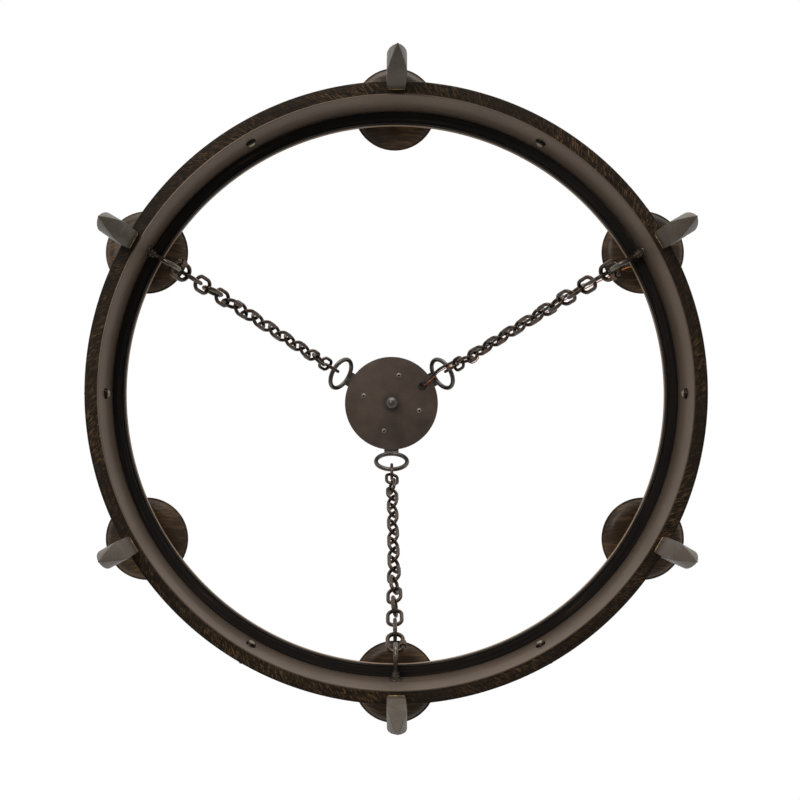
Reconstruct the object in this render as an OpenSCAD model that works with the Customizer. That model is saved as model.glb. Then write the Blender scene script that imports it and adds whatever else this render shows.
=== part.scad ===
// Wagon wheel chandelier: a six-light wheel hung on three chains from a ceiling canopy.
// Origin: centre of the canopy at the ceiling plane. The object hangs down along -Z.
// Lights stand at 30, 90, 150 ... degrees, and the chains at 90, 210 and 330 degrees.

/* [Wheel rim] */
// Outer diameter of the wooden hoop
rim_od = 812; // [700:1:1100]
// Thickness of the hoop's wooden wall
hoop_wall = 17; // [14:0.5:24]
// Height of the wooden hoop
hoop_h = 66; // [62:1:100]
// Thickness of the metal band that lines the hoop
liner_t = 2; // [1:0.5:3]
// Thickness of the flat wooden cap ring on top of the hoop
cap_t = 17; // [14:0.5:24]
// How far the cap ring reaches inward past the metal liner
cap_reach = 15; // [10:0.5:17]
// Thickness of the metal band round the cap ring's inner edge
edge_t = 2; // [1:0.5:3]
// Width of the wiring groove in the cap ring's underside
groove_w = 5; // [4:0.5:6]
// Depth of the wiring groove
groove_h = 5; // [4:0.5:8]
// Distance from the hoop's outer face to the middle of the wiring groove
groove_in = 6; // [5.5:0.5:8]

/* [Arms] */
// Side of the square iron bar of an arm
arm_sq = 25; // [20:1:30]
// Straight length of the arm below the hoop
spike_straight = 60; // [30:1:80]
// Length of the arm's point
spike_point = 62; // [40:1:90]
// Height of the arm's block above the cap ring
post_h = 22; // [20:1:50]
// Bevel round the top of the arm's block
arm_bevel = 2; // [1:0.5:3]

/* [Lights] */
// Diameter of a drip dish
dish_d = 117; // [90:1:140]
// Rise of the dish from its foot to its rim
dish_rise = 9; // [6:0.5:12]
// Wall of the dish
dish_t = 2.5; // [2:0.25:4]
// Outer diameter of a candle sleeve
candle_d = 24; // [22:0.5:30]
// Length of a candle sleeve
candle_l = 100; // [80:1:130]
// Wall of a candle sleeve
candle_t = 1.2; // [0.8:0.1:2]
// Play between a lamp socket's cup and the candle sleeve round it
socket_play = 0.6; // [0.3:0.1:1]
// Height of a lamp socket's cup
socket_cup_h = 36; // [30:1:40]
// Radius of the socket's screw bore
socket_bore_r = 7.1; // [7:0.05:7.5]
// Depth of the socket's screw bore
socket_bore_h = 26; // [24:1:28]
// Diameter of the lamp's glass
bulb_d = 35; // [30:1:40]
// Height of the lamp's glass
bulb_h = 76; // [60:1:90]
// Diameter of the threaded nipple under each socket
nipple_d = 10; // [9:0.5:12]
// Bore of the threaded nipple
nipple_bore = 7; // [5:0.5:8]

/* [Wall hardware] */
// Height of the six wall bolts above the hoop's lower edge
bolt_z = 32; // [20:1:40]
// Diameter of the wall bolt's head
bolt_head_d = 14.6; // [12:0.2:18]
// Height of the wall bolt's head
bolt_head_h = 6; // [4:0.5:8]
// Shank diameter of the wall bolts
bolt_d = 6; // [5:0.5:8]
// Distance of the eye bolts below the hoop's upper edge
eye_drop = 14; // [12:1:18]
// Rod diameter of the eye bolts
eye_rod = 6; // [5:0.5:7]
// Outer diameter of the eye
eye_od = 36; // [34:1:40]
// Distance from the liner's face to the centre of the eye
eye_reach = 33; // [33:1:45]
// Width across flats of the nuts
nut_af = 10; // [9:0.5:13]
// Height of the nuts
nut_h = 5; // [4:0.5:7]
// Diameter of the washers
washer_d = 17; // [14:0.5:20]
// Thickness of the washers
washer_t = 1.6; // [1:0.2:2]

/* [Chain] */
// Number of links in each chain
link_count = 18; // [12:1:30]
// Outer length of a link
link_l = 37; // [35:0.1:42]
// Outer width of a link
link_w = 25.5; // [24:0.5:28]
// Wire diameter of a link
link_d = 5.6; // [5:0.1:6]
// Play between neighbouring links
link_play = 0.25; // [0.2:0.05:0.5]
// Outer length of the screw link that ends a chain
ql_l = 42; // [40:0.5:50]
// Outer width of the screw link
ql_w = 27; // [26:0.5:30]
// Rod diameter of the screw link
ql_d = 6; // [5:0.1:6.5]
// Length of the screw link's sleeve
sleeve_l = 9; // [8:0.5:11]
// Width across flats of the sleeve
sleeve_af = 9; // [8.5:0.1:10]
// Running clearance between the sleeve and its rod
sleeve_gap = 0.05; // [0.03:0.01:0.1]
// Clearance between a screw link and its eye
open_gap = 0.9; // [0.6:0.1:2]

/* [Canopy] */
// Diameter of the canopy
canopy_d = 173; // [150:1:200]
// Height of the canopy
canopy_h = 26; // [25:1:50]
// Sheet thickness of the canopy
canopy_t = 1.5; // [1:0.25:2.5]
// Thickness of the hanger plate inside the canopy
plate_t = 4; // [3:0.5:5]
// Width of the hanger plate's three tabs
tab_w = 27; // [20:1:32]
// Clearance round a tab where it leaves the canopy
tab_gap = 0.5; // [0.3:0.1:1]
// Distance from the canopy's rim to the rod of a chain ring
ring_out = 7.5; // [6:0.5:12]
// Outer diameter of a chain ring
ring_od = 65; // [55:1:75]
// Rod diameter of a chain ring
ring_rod = 8; // [6:0.5:9]
// Diameter of the centre stud
stud_d = 10; // [8:0.5:12]
// Diameter of the ball knob
knob_d = 22; // [18:1:30]
// Length of the knob's neck
knob_neck = 27; // [10:1:40]
// Running clearance between the knob and the stud
knob_gap = 0.05; // [0.03:0.01:0.1]
// Pitch circle of the four canopy screws
screw_pcd = 107; // [90:1:120]
// Thread diameter of the canopy screws
screw_d = 5; // [4:0.5:6]
// Head diameter of the canopy screws
screw_head_d = 9.5; // [8:0.5:11]
// Turn of the screw circle from the X axis, in degrees
screw_turn = 15; // [0:5:20]
// Distance between the mounting bar's two slots
slot_spacing = 88.9; // [80:0.1:90]
// Width of a slot
slot_w = 5; // [4:0.5:6]
// Length of a slot from end to end
slot_l = 12; // [10:1:13]
// Metal left beyond each slot of the mounting bar
bar_end = 5.5; // [4:0.5:10]
// Width of the mounting bar
bar_w = 26; // [22:1:30]
// Thickness of the mounting bar
bar_t = 3; // [2:0.5:4]

/* [Cord] */
// Diameter of the supply cord
cord_d = 5; // [4:0.5:5]
// Distance from the canopy's rim to the middle of the cord's hole
cord_inset = 20.5; // [18:0.5:24]
// Clearance round the cord and the ground wire in their bushing
bushing_gap = 0.5; // [0.3:0.1:1]
// Diameter of the bare copper ground wire that runs with the cord
ground_d = 1.8; // [1.4:0.1:2.1]
// Diameter of a lamp wire
wire_d = 3; // [2:0.5:3.5]

/* [Hidden] */
$fn = 64;
eps = 0.01;
bronze = "#4d443d";
dark_wood = "#33261b";
ivory = "#d8cdb4";

// Angles of the three chains and of the six arms
CHAINS = [90, 210, 330];
ARMS = [30, 90, 150, 210, 270, 330];
// Side of each screw link that carries its sleeve
SLEEVE_SIDE = [-1, 1, 1];

// Wheel radii
rim_r = rim_od / 2;
hoop_ir = rim_r - hoop_wall;
liner_ir = hoop_ir - liner_t;

// Radius at which a flat round piece of diameter d rests on the curved liner
function liner_seat(d) = sqrt(liner_ir * liner_ir - d * d / 4);

cap_ir = liner_ir - cap_reach;
groove_r = rim_r - groove_in;
riser_d = wire_d + 0.7;
cap_top = hoop_h + cap_t;
eye_z = hoop_h - eye_drop;
post_top = cap_top + post_h;
arm_half = arm_sq / 2;
strap_or = rim_r + arm_half;

// Chain geometry: everything between a tab and an eye lies on one straight line
plate_z = -canopy_h + canopy_t + plate_t / 2;
hang_r = canopy_d / 2 + ring_out;
ring_cl = ring_od - ring_rod;
pitch = link_l - 2 * link_d - link_play;
first_bend = ring_cl - ring_rod / 2 - link_d / 2 - link_play;
last_bend = first_bend + (link_count - 1) * pitch + link_l - link_d;
ql_top = last_bend - link_d / 2 - ql_d / 2 - link_play;
ql_low = ql_top + ql_l - ql_d;
eye_r = liner_ir - eye_reach;
eye_cl = (eye_od - eye_rod) / 2;
line_l = ql_low + eye_cl - eye_rod / 2 - ql_d / 2 - open_gap;
line_tilt = asin((eye_r - hang_r) / line_l);
wheel_z = plate_z - line_l * cos(line_tilt) - eye_z;

// Arc of points round c, for outlines
function arc(c, r, a0, a1, n) = [for (i = [0 : n]) let (a = a0 + (a1 - a0) * i / n) c + r * [cos(a), sin(a)]];

// Half width of an arm's point at a share t of its length. Its four faces bulge slightly.
point_bulge = 1.5;
function point_half(t) = arm_half * (1 - pow(t, point_bulge));

module at_angle(a) {
    rotate([0, 0, a]) children();
}

module on_wheel(a = 0) {
    translate([0, 0, wheel_z]) at_angle(a) children();
}

// Frame of a chain: -Z runs down the chain, Y is tangential, X lies in the radial plane
module on_chain(k) {
    at_angle(CHAINS[k]) translate([hang_r, 0, plate_z]) rotate([0, -line_tilt, 0]) children();
}

// Turns a piece drawn along +Z so that it points outward along the wheel's radius
module outward(r, z) {
    translate([r, 0, z]) rotate([0, 90, 0]) children();
}

module torus(r, d) {
    rotate_extrude() translate([r, 0]) circle(d = d, $fn = 32);
}

module tube(od, id, h) {
    difference() {
        cylinder(d = od, h = h);
        translate([0, 0, -eps]) cylinder(d = id, h = h + 2 * eps);
    }
}

module band(outer_r, inner_r, h) {
    difference() {
        cylinder(r = outer_r, h = h, $fn = 128);
        translate([0, 0, -eps]) cylinder(r = inner_r, h = h + 2 * eps, $fn = 128);
    }
}

module hex_nut(af, h, bore) {
    difference() {
        cylinder(d = af / cos(30), h = h, $fn = 6);
        translate([0, 0, -eps]) cylinder(d = bore, h = h + 2 * eps, $fn = 32);
    }
}

module washer(d, t, bore) {
    tube(d, bore, t);
}

// Oval link of round wire, upright in the XZ plane and centred on the origin
module oval_link(l, w, d) {
    bend_r = (w - d) / 2;
    leg = l - w;
    for (s = [-1, 1]) {
        translate([s * bend_r, 0, -leg / 2]) cylinder(d = d, h = leg, $fn = 32);
        translate([0, 0, s * leg / 2]) intersection() {
            rotate([90, 0, 0]) torus(bend_r, d);
            translate([-w, -w, s > 0 ? 0 : -w]) cube([2 * w, 2 * w, w]);
        }
    }
}

// ---------- ceiling ----------

bar_l = slot_spacing + slot_l + 2 * bar_end;

module mounting_bar() {
    color(bronze) difference() {
        translate([-bar_l / 2, -bar_w / 2, -bar_t]) cube([bar_l, bar_w, bar_t]);
        translate([0, 0, -bar_t - eps]) cylinder(d = stud_d, h = bar_t + 2 * eps);
        for (s = [-1, 1]) {
            translate([s * slot_spacing / 2, 0, -bar_t - eps]) slot_cut();
        }
    }
}

module slot_cut() {
    run = slot_l - slot_w;
    for (s = [-1, 1]) {
        translate([s * run / 2, 0, 0]) cylinder(d = slot_w, h = bar_t + 2 * eps, $fn = 32);
    }
    translate([-run / 2, -slot_w / 2, 0]) cube([run, slot_w, bar_t + 2 * eps]);
}

// The stud reaches down into the knob
stud_low = canopy_h + knob_neck + knob_d / 2;

module centre_stud() {
    color(bronze) translate([0, 0, -stud_low]) cylinder(d = stud_d, h = stud_low);
}

stud_nut_af = stud_d * 1.6;
stud_nut_h = 5;
boss_h = 6;
boss_top = -canopy_h + canopy_t + plate_t + boss_h;

module stud_nuts() {
    color(bronze) {
        translate([0, 0, -bar_t - stud_nut_h]) hex_nut(stud_nut_af, stud_nut_h, stud_d);
        translate([0, 0, boss_top]) hex_nut(stud_nut_af, stud_nut_h, stud_d);
    }
}

// Room for the weld between a tab's hollow end and its chain ring
weld_gap = 0.1;

module hanger_plate() {
    disc_r = canopy_d / 2 - canopy_t - 4;
    tab_root = 6;
    low = -canopy_h + canopy_t;
    color(bronze) difference() {
        union() {
            translate([0, 0, low]) cylinder(r = disc_r, h = plate_t);
            translate([0, 0, low + plate_t]) cylinder(d = stud_d * 2, h = boss_h);
            for (a = CHAINS) {
                at_angle(a) translate([disc_r - tab_root, -tab_w / 2, low])
                    cube([hang_r - disc_r + tab_root, tab_w, plate_t]);
            }
        }
        translate([0, 0, low - eps]) cylinder(d = stud_d, h = plate_t + boss_h + 2 * eps);
        for (a = CHAINS) {
            at_angle(a) translate([hang_r, tab_w / 2 + 1, plate_z]) rotate([90, 0, 0])
                cylinder(d = ring_rod + weld_gap, h = tab_w + 2, $fn = 32);
        }
        for (a = [screw_turn : 90 : 359]) {
            at_angle(a) translate([screw_pcd / 2, 0, low - eps])
                cylinder(d = screw_d, h = plate_t + 2 * eps, $fn = 32);
        }
        cord_way(low - eps, plate_t + 2 * eps);
    }
}

// Place of the cord's way through the canopy
cord_way_r = canopy_d / 2 - cord_inset;

module cord_way(z, h) {
    at_angle(CHAINS[2]) translate([cord_way_r, 0, z]) cylinder(d = bushing_od, h = h, $fn = 32);
}

bushing_wall = 2.5;
bushing_id = cord_d + ground_d + 2 * bushing_gap;
bushing_od = bushing_id + 2 * bushing_wall;

module canopy() {
    color(bronze) difference() {
        translate([0, 0, -canopy_h]) cylinder(d = canopy_d, h = canopy_h, $fn = 96);
        translate([0, 0, -canopy_h + canopy_t]) cylinder(d = canopy_d - 2 * canopy_t, h = canopy_h, $fn = 96);
        translate([0, 0, -canopy_h - eps]) cylinder(d = stud_d + 1, h = canopy_t + 2 * eps);
        for (a = [screw_turn : 90 : 359]) {
            at_angle(a) translate([screw_pcd / 2, 0, -canopy_h - eps])
                cylinder(d = screw_d + 0.4, h = canopy_t + 2 * eps, $fn = 32);
        }
        for (a = CHAINS) {
            at_angle(a) translate([canopy_d / 2 - 3 * canopy_t, -tab_w / 2 - tab_gap, -canopy_h + canopy_t])
                cube([4 * canopy_t, tab_w + 2 * tab_gap, plate_t + tab_gap]);
        }
        cord_way(-canopy_h - eps, canopy_t + 2 * eps);
    }
}

// Button-head screws from below, with a hexagon recess
module canopy_screws() {
    head_h = screw_head_d * 0.29;
    cap_r = (head_h * head_h + screw_head_d * screw_head_d / 4) / (2 * head_h);
    color(bronze) for (a = [screw_turn : 90 : 359]) {
        at_angle(a) translate([screw_pcd / 2, 0, -canopy_h]) {
            cylinder(d = screw_d, h = canopy_t + plate_t, $fn = 32);
            difference() {
                intersection() {
                    translate([0, 0, cap_r - head_h]) sphere(r = cap_r);
                    translate([0, 0, -head_h]) cylinder(d = screw_head_d, h = head_h, $fn = 32);
                }
                translate([0, 0, -head_h - eps]) cylinder(d = screw_d * 0.85, h = head_h * 0.6, $fn = 6);
            }
        }
    }
}

// Ball knob on a neck with a collar that bears on the canopy
module canopy_knob() {
    collar_h = 3;
    neck_d = stud_d + 4;
    color(bronze) difference() {
        union() {
            translate([0, 0, -stud_low]) sphere(d = knob_d);
            translate([0, 0, -stud_low]) cylinder(d = neck_d, h = stud_low - canopy_h);
            translate([0, 0, -canopy_h - collar_h]) cylinder(d = neck_d + 6, h = collar_h);
        }
        translate([0, 0, -stud_low - knob_gap]) cylinder(d = stud_d + 2 * knob_gap, h = stud_low);
    }
}

module cord_bushing() {
    flange = 2;
    color("#1c1a19") at_angle(CHAINS[2]) translate([cord_way_r, 0, 0]) difference() {
        union() {
            translate([0, 0, -canopy_h]) cylinder(d = bushing_od, h = canopy_t + plate_t, $fn = 32);
            translate([0, 0, -canopy_h - flange]) cylinder(d = bushing_od + 2 * flange, h = flange, $fn = 32);
        }
        translate([0, 0, -canopy_h - flange - eps])
            cylinder(d = bushing_id, h = canopy_t + plate_t + flange + 2 * eps, $fn = 32);
    }
}

// Twist-on connectors that join the cord and the ground wire to the house wires, on the hanger plate
con_d = 9;
con_pitch = con_d + 1;
joint_r = cord_way_r - 22;
joint_side = 10;
joint_z = -canopy_h + canopy_t + plate_t + con_d / 2;

module wire_connectors() {
    con_l = 18;
    mouth = 6;
    color("#8a4b2a") for (s = [-1, 1, 3]) {
        at_angle(CHAINS[2]) translate([joint_r - con_l, joint_side + s * con_pitch / 2, joint_z])
            rotate([0, 90, 0]) difference() {
                cylinder(d = con_d, h = con_l, $fn = 32);
                translate([0, 0, con_l - mouth]) cylinder(d = con_d - 3, h = mouth + eps, $fn = 32);
            }
    }
}

module chain_rings() {
    color(bronze) for (k = [0 : 2]) {
        on_chain(k) translate([0, 0, -ring_cl / 2]) rotate([0, 90, 0]) torus(ring_cl / 2, ring_rod);
    }
}

// ---------- chains ----------

module chain(k) {
    color(bronze) on_chain(k) for (i = [0 : link_count - 1]) {
        translate([0, 0, -first_bend - (link_l - link_d) / 2 - i * pitch])
            rotate([0, 0, link_roll(i)]) oval_link(link_l, link_w, link_d);
    }
}

// Neighbouring links stand at right angles. An even chain also turns a quarter, half of it in
// its first links and half in its last, so that its last link stands square to the screw link.
chain_twist = link_count % 2 == 0 ? 90 : 0;
turn_in = 4;
turn_out = 6;
function twist_share(i) = min(i / turn_in, 1) / 2 + max(i + 1 - link_count + turn_out, 0) / turn_out / 2;
function link_roll(i) = i * 90 + chain_twist * twist_share(i);

// Middle of a screw link, on its chain's line
ql_mid = -(ql_top + ql_low) / 2;
ql_leg = ql_l - ql_w;
ql_side = (ql_w - ql_d) / 2;
sleeve_low = -ql_leg / 2;
sleeve_cover = 1;
sleeve_travel = min(ql_leg - sleeve_l, sleeve_l - 2 * sleeve_cover);

module on_screw_link(k) {
    on_chain(k) translate([0, 0, ql_mid]) rotate([0, 0, 90 * SLEEVE_SIDE[k]]) children();
}

module screw_link(k) {
    color(bronze) on_screw_link(k) difference() {
        oval_link(ql_l, ql_w, ql_d);
        translate([ql_side - ql_d, -ql_d, sleeve_low + sleeve_cover])
            cube([2 * ql_d, 2 * ql_d, sleeve_travel]);
    }
}

module link_sleeve(k) {
    color(bronze) on_screw_link(k) translate([ql_side, 0, sleeve_low])
        hex_nut(sleeve_af, sleeve_l, ql_d + 2 * sleeve_gap);
}

// ---------- wheel hardware ----------

// A nut and a washer clamp the eye bolt on each side of the wall
inner_stack = nut_h + washer_t;
washer_seat = liner_seat(washer_d);
bolt_tail = 3;
eye_end_r = strap_or + washer_t + nut_h + bolt_tail;

module eye_bolt(k) {
    shank_r = eye_r + eye_cl;
    collar_h = 3;
    color(bronze) on_wheel(CHAINS[k]) {
        translate([eye_r, 0, eye_z]) rotate([90, 0, 0]) torus(eye_cl, eye_rod);
        outward(shank_r, eye_z) cylinder(d = eye_rod, h = eye_end_r - shank_r, $fn = 32);
        outward(washer_seat - inner_stack - collar_h, eye_z)
            cylinder(d = eye_rod * 1.6, h = collar_h, $fn = 32);
    }
}

module eye_nuts() {
    color(bronze) for (a = CHAINS) {
        on_wheel(a) {
            outward(washer_seat - inner_stack, eye_z) hex_nut(nut_af, nut_h, eye_rod);
            outward(strap_or + washer_t, eye_z) hex_nut(nut_af, nut_h, eye_rod);
        }
    }
}

module eye_washers() {
    color(bronze) for (a = CHAINS) {
        on_wheel(a) {
            outward(washer_seat - washer_t, eye_z) washer(washer_d, washer_t, eye_rod);
            outward(strap_or, eye_z) washer(washer_d, washer_t, eye_rod);
        }
    }
}

// Domed bolt heads on the inner wall
module wall_bolts() {
    dome_r = (bolt_head_h * bolt_head_h + bolt_head_d * bolt_head_d / 4) / (2 * bolt_head_h);
    head_seat = liner_seat(bolt_head_d);
    color(bronze) for (a = [0 : 60 : 300]) {
        on_wheel(a) {
            outward(head_seat, bolt_z) cylinder(d = bolt_d, h = rim_r + nut_h + 1 - head_seat, $fn = 32);
            outward(head_seat, bolt_z) intersection() {
                translate([0, 0, dome_r - bolt_head_h]) sphere(r = dome_r);
                translate([0, 0, -bolt_head_h]) cylinder(d = bolt_head_d, h = bolt_head_h, $fn = 32);
            }
        }
    }
}

module wall_nuts() {
    dome = nut_af * 0.9;
    color(bronze) for (a = [0 : 60 : 300]) {
        on_wheel(a) {
            outward(rim_r, bolt_z) difference() {
                union() {
                    cylinder(d = nut_af / cos(30), h = nut_h, $fn = 6);
                    translate([0, 0, nut_h]) sphere(d = dome);
                }
                translate([0, 0, -eps]) cylinder(d = bolt_d, h = nut_h + 1 + eps, $fn = 32);
            }
        }
    }
}

// Hex-headed wood screws hold each arm: one low, and one at eye height where no eye bolt passes
screw_low_z = 18;
screw_bite = 12;
lag_d = 6;

module arm_screw(z) {
    outward(rim_r - screw_bite, z) cylinder(d = lag_d, h = screw_bite + arm_half, $fn = 32);
    outward(strap_or, z) cylinder(d = nut_af / cos(30), h = 4, $fn = 6);
}

module arm_screws() {
    color(bronze) {
        for (a = ARMS) {
            on_wheel(a) arm_screw(screw_low_z);
        }
        for (a = [30, 150, 270]) {
            on_wheel(a) arm_screw(eye_z);
        }
    }
}

// ---------- wheel rim ----------

// Holes through the rim, cut along the radius
module rim_holes(from_r, to_r) {
    for (a = [0 : 60 : 300]) {
        at_angle(a) outward(from_r, bolt_z) cylinder(d = bolt_d, h = to_r - from_r, $fn = 32);
    }
    for (a = CHAINS) {
        at_angle(a) outward(from_r, eye_z) cylinder(d = eye_rod, h = to_r - from_r, $fn = 32);
    }
}

module lag_holes() {
    for (a = ARMS) {
        at_angle(a) outward(rim_r - screw_bite, screw_low_z)
            cylinder(d = lag_d, h = screw_bite + 1, $fn = 32);
    }
    for (a = [30, 150, 270]) {
        at_angle(a) outward(rim_r - screw_bite, eye_z) cylinder(d = lag_d, h = screw_bite + 1, $fn = 32);
    }
}

module wood_hoop() {
    color(dark_wood) on_wheel() difference() {
        band(rim_r, hoop_ir, hoop_h);
        rim_holes(hoop_ir - 1, rim_r + 1);
        lag_holes();
    }
}

module hoop_liner() {
    color(bronze) on_wheel() difference() {
        band(hoop_ir, liner_ir, hoop_h);
        rim_holes(liner_ir - 1, hoop_ir + 1);
    }
}

module cap_ring() {
    color(dark_wood) on_wheel() translate([0, 0, hoop_h]) difference() {
        band(rim_r, cap_ir + edge_t, cap_t);
        translate([0, 0, -eps]) band(groove_r + groove_w / 2, groove_r - groove_w / 2, groove_h + eps);
        for (a = ARMS) {
            at_angle(a) translate([groove_r, 0, 0]) cylinder(d = riser_d, h = cap_t + eps, $fn = 32);
        }
        at_angle(CHAINS[2]) translate([groove_r, cord_side, 0])
            cylinder(d = cord_d + ground_d + 2 * cord_room, h = cap_t + eps, $fn = 32);
    }
}

module cap_edge_band() {
    color(bronze) on_wheel() translate([0, 0, hoop_h]) band(cap_ir + edge_t, cap_ir, cap_t);
}

// ---------- arms and lights ----------

// Outline of an arm seen from the front or the side: a point, straight sides and a bevelled top
module arm_outline() {
    steps = 10;
    left = [for (i = [steps : -1 : 0]) [-point_half(i / steps), -spike_straight - spike_point * i / steps]];
    right = [for (i = [0 : steps - 1]) [point_half(i / steps), -spike_straight - spike_point * i / steps]];
    top = [
        [-arm_half, post_top - arm_bevel],
        [-arm_half + arm_bevel, post_top],
        [arm_half - arm_bevel, post_top],
        [arm_half, post_top - arm_bevel]
    ];
    polygon(concat(left, top, right));
}

module arm_bar() {
    intersection() {
        translate([0, arm_half, 0]) rotate([90, 0, 0]) linear_extrude(arm_sq) arm_outline();
        translate([-arm_half, 0, 0]) rotate([90, 0, 90]) linear_extrude(arm_sq) arm_outline();
    }
}

nipple_seat = 8;
wire_room = 5;
turn_z = post_top - nipple_seat - wire_room / 2;

// An arm that carries a chain is held by the eye bolt, the others by a wood screw
function carries_chain(k) = k % 2 == 1;

module arm(k) {
    color(bronze) on_wheel(ARMS[k]) difference() {
        translate([rim_r, 0, 0]) arm_bar();
        cylinder(r = rim_r, h = cap_top, $fn = 128);
        translate([rim_r, 0, post_top - nipple_seat - wire_room])
            cylinder(d = nipple_d, h = nipple_seat + wire_room + eps, $fn = 32);
        translate([groove_r, 0, cap_top - eps])
            cylinder(d = riser_d, h = turn_z + wire_d / 2 + 0.3 - cap_top, $fn = 32);
        outward(groove_r, turn_z) cylinder(d = wire_d + 1, h = groove_in, $fn = 32);
        outward(rim_r - 1, eye_z) cylinder(d = carries_chain(k) ? eye_rod : lag_d, h = arm_sq, $fn = 32);
        outward(rim_r - 1, screw_low_z) cylinder(d = lag_d, h = arm_sq, $fn = 32);
    }
}

// Half section of a dish: flat foot, rising underside, rounded lip
module dish_section() {
    r = dish_d / 2;
    lip = dish_t / 2;
    sweep_r = dish_rise - lip;
    foot = r - lip - sweep_r * 2;
    under = arc([foot, 2 * sweep_r + lip], 2 * sweep_r + lip, 270, 330, 8);
    rim = arc([r - lip, dish_rise], lip, 330, 510, 8);
    inner = arc([foot, 2 * sweep_r + lip], 2 * sweep_r + lip - dish_t, 330, 270, 8);
    polygon(concat([[0, 0]], under, rim, inner, [[0, dish_t]]));
}

module drip_dish(k) {
    color(dark_wood) on_wheel(ARMS[k]) translate([rim_r, 0, post_top]) difference() {
        rotate_extrude($fn = 96) dish_section();
        translate([0, 0, -eps]) cylinder(d = nipple_d, h = dish_t + 2 * eps, $fn = 32);
    }
}

module candle(k) {
    color(ivory) on_wheel(ARMS[k]) translate([rim_r, 0, post_top + dish_t])
        tube(candle_d, candle_d - 2 * candle_t, candle_l);
}

// Heights of the socket's cup and the nipple above an arm's top
cup_low = dish_t + candle_l - socket_cup_h;
nipple_up = 12;
socket_d = candle_d - 2 * candle_t - 2 * socket_play;
wire_end = cup_low + (socket_cup_h - socket_bore_h) / 2;

module lamp_sockets() {
    foot_h = nipple_up - dish_t;
    stem_d = nipple_d + 4;
    color(ivory) for (a = ARMS) {
        on_wheel(a) translate([rim_r, 0, post_top]) difference() {
            union() {
                translate([0, 0, dish_t]) cylinder(d = stem_d, h = cup_low - dish_t, $fn = 32);
                translate([0, 0, cup_low]) cylinder(d = socket_d, h = socket_cup_h);
            }
            translate([0, 0, dish_t - eps]) cylinder(d = nipple_d, h = foot_h + eps, $fn = 32);
            cylinder(d = nipple_bore, h = wire_end, $fn = 32);
            translate([0, 0, cup_low + socket_cup_h - socket_bore_h])
                cylinder(r = socket_bore_r, h = socket_bore_h + eps, $fn = 32);
        }
    }
}

module nipples() {
    color("#b08d57") for (a = ARMS) {
        on_wheel(a) translate([rim_r, 0, post_top - nipple_seat])
            tube(nipple_d, nipple_bore, nipple_seat + nipple_up);
    }
}

// Candle lamp with a screw cap and a flame-shaped glass
module lamp(k) {
    cap_r = socket_bore_r - 0.1;
    neck = cap_r + 1.5;
    glass_z = 0.5;
    big = bulb_d / 2;
    belly_z = bulb_h * 0.36;
    steps = 12;
    low = [for (i = [0 : 5]) [neck + (big - neck) * sin(15 * i), belly_z * i / 6]];
    high = [for (i = [0 : steps]) [
        big * pow(cos(90 * i / steps), 1.1) + i / steps,
        belly_z + (bulb_h - belly_z) * i / steps
    ]];
    color([1, 0.96, 0.86, 0.6]) on_wheel(ARMS[k]) translate([rim_r, 0, post_top + dish_t + candle_l]) {
        translate([0, 0, glass_z]) rotate_extrude($fn = 48)
            polygon(concat([[0, 0]], low, high, [[0, bulb_h]]));
        translate([0, 0, -socket_bore_h]) cylinder(r = cap_r, h = socket_bore_h + 1, $fn = 32);
    }
}

// Quarter bend of wire that leaves the origin along +Z and ends along +X
module wire_bend(d, r) {
    translate([r, 0, 0]) rotate([90, 0, 0]) rotate([0, 0, 90]) rotate_extrude(angle = 90)
        translate([r, 0]) circle(d = d, $fn = 24);
}

// Wires: a loop in the cap ring's groove with a thinner lead into each arm and socket
module lamp_wires() {
    lead_d = wire_d - 0.5;
    bend_r = groove_in / 2;
    loop_z = hoop_h + wire_d / 2;
    end_z = post_top + wire_end;
    color("#2a2624") {
        on_wheel() translate([0, 0, loop_z]) rotate_extrude($fn = 128)
            translate([groove_r, 0]) circle(d = wire_d, $fn = 24);
        for (a = ARMS) {
            on_wheel(a) {
                translate([groove_r, 0, loop_z]) cylinder(d = lead_d, h = turn_z - bend_r - loop_z, $fn = 24);
                translate([groove_r, 0, turn_z - bend_r]) wire_bend(lead_d, bend_r);
                translate([rim_r, 0, turn_z + bend_r]) mirror([0, 0, 1]) mirror([1, 0, 0])
                    wire_bend(lead_d, bend_r);
                translate([rim_r, 0, turn_z + bend_r])
                    cylinder(d = lead_d, h = end_z - turn_z - bend_r, $fn = 24);
            }
        }
    }
}

// ---------- supply cord and ground wire ----------

// Where the cord and the ground wire enter the cap ring beside the arm, and the hole's room round them
cord_side = 22;
cord_room = 0.8;
// Distance of the cord from the middle of its chain, where it lies on top of the links
above = max(link_w, ql_w) / 2 + cord_d / 2 + 0.6;

// Point given in the chain's frame: away from the light's axis, to the side, and along the chain
function chain_point(out, side, along) = [
    hang_r + along * sin(line_tilt) + out * cos(line_tilt),
    side,
    plate_z - along * cos(line_tilt) + out * sin(line_tilt)
];

// Route in the radial frame of the cord's chain. Way along the chain: out and side in mm, along as
// a share of the chain's line. Before and after it: radius, side, height.
function route(start, chain_way, end) = concat(
    start,
    [for (p = chain_way) chain_point(p[0], p[1], p[2] * line_l)],
    end
);

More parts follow.
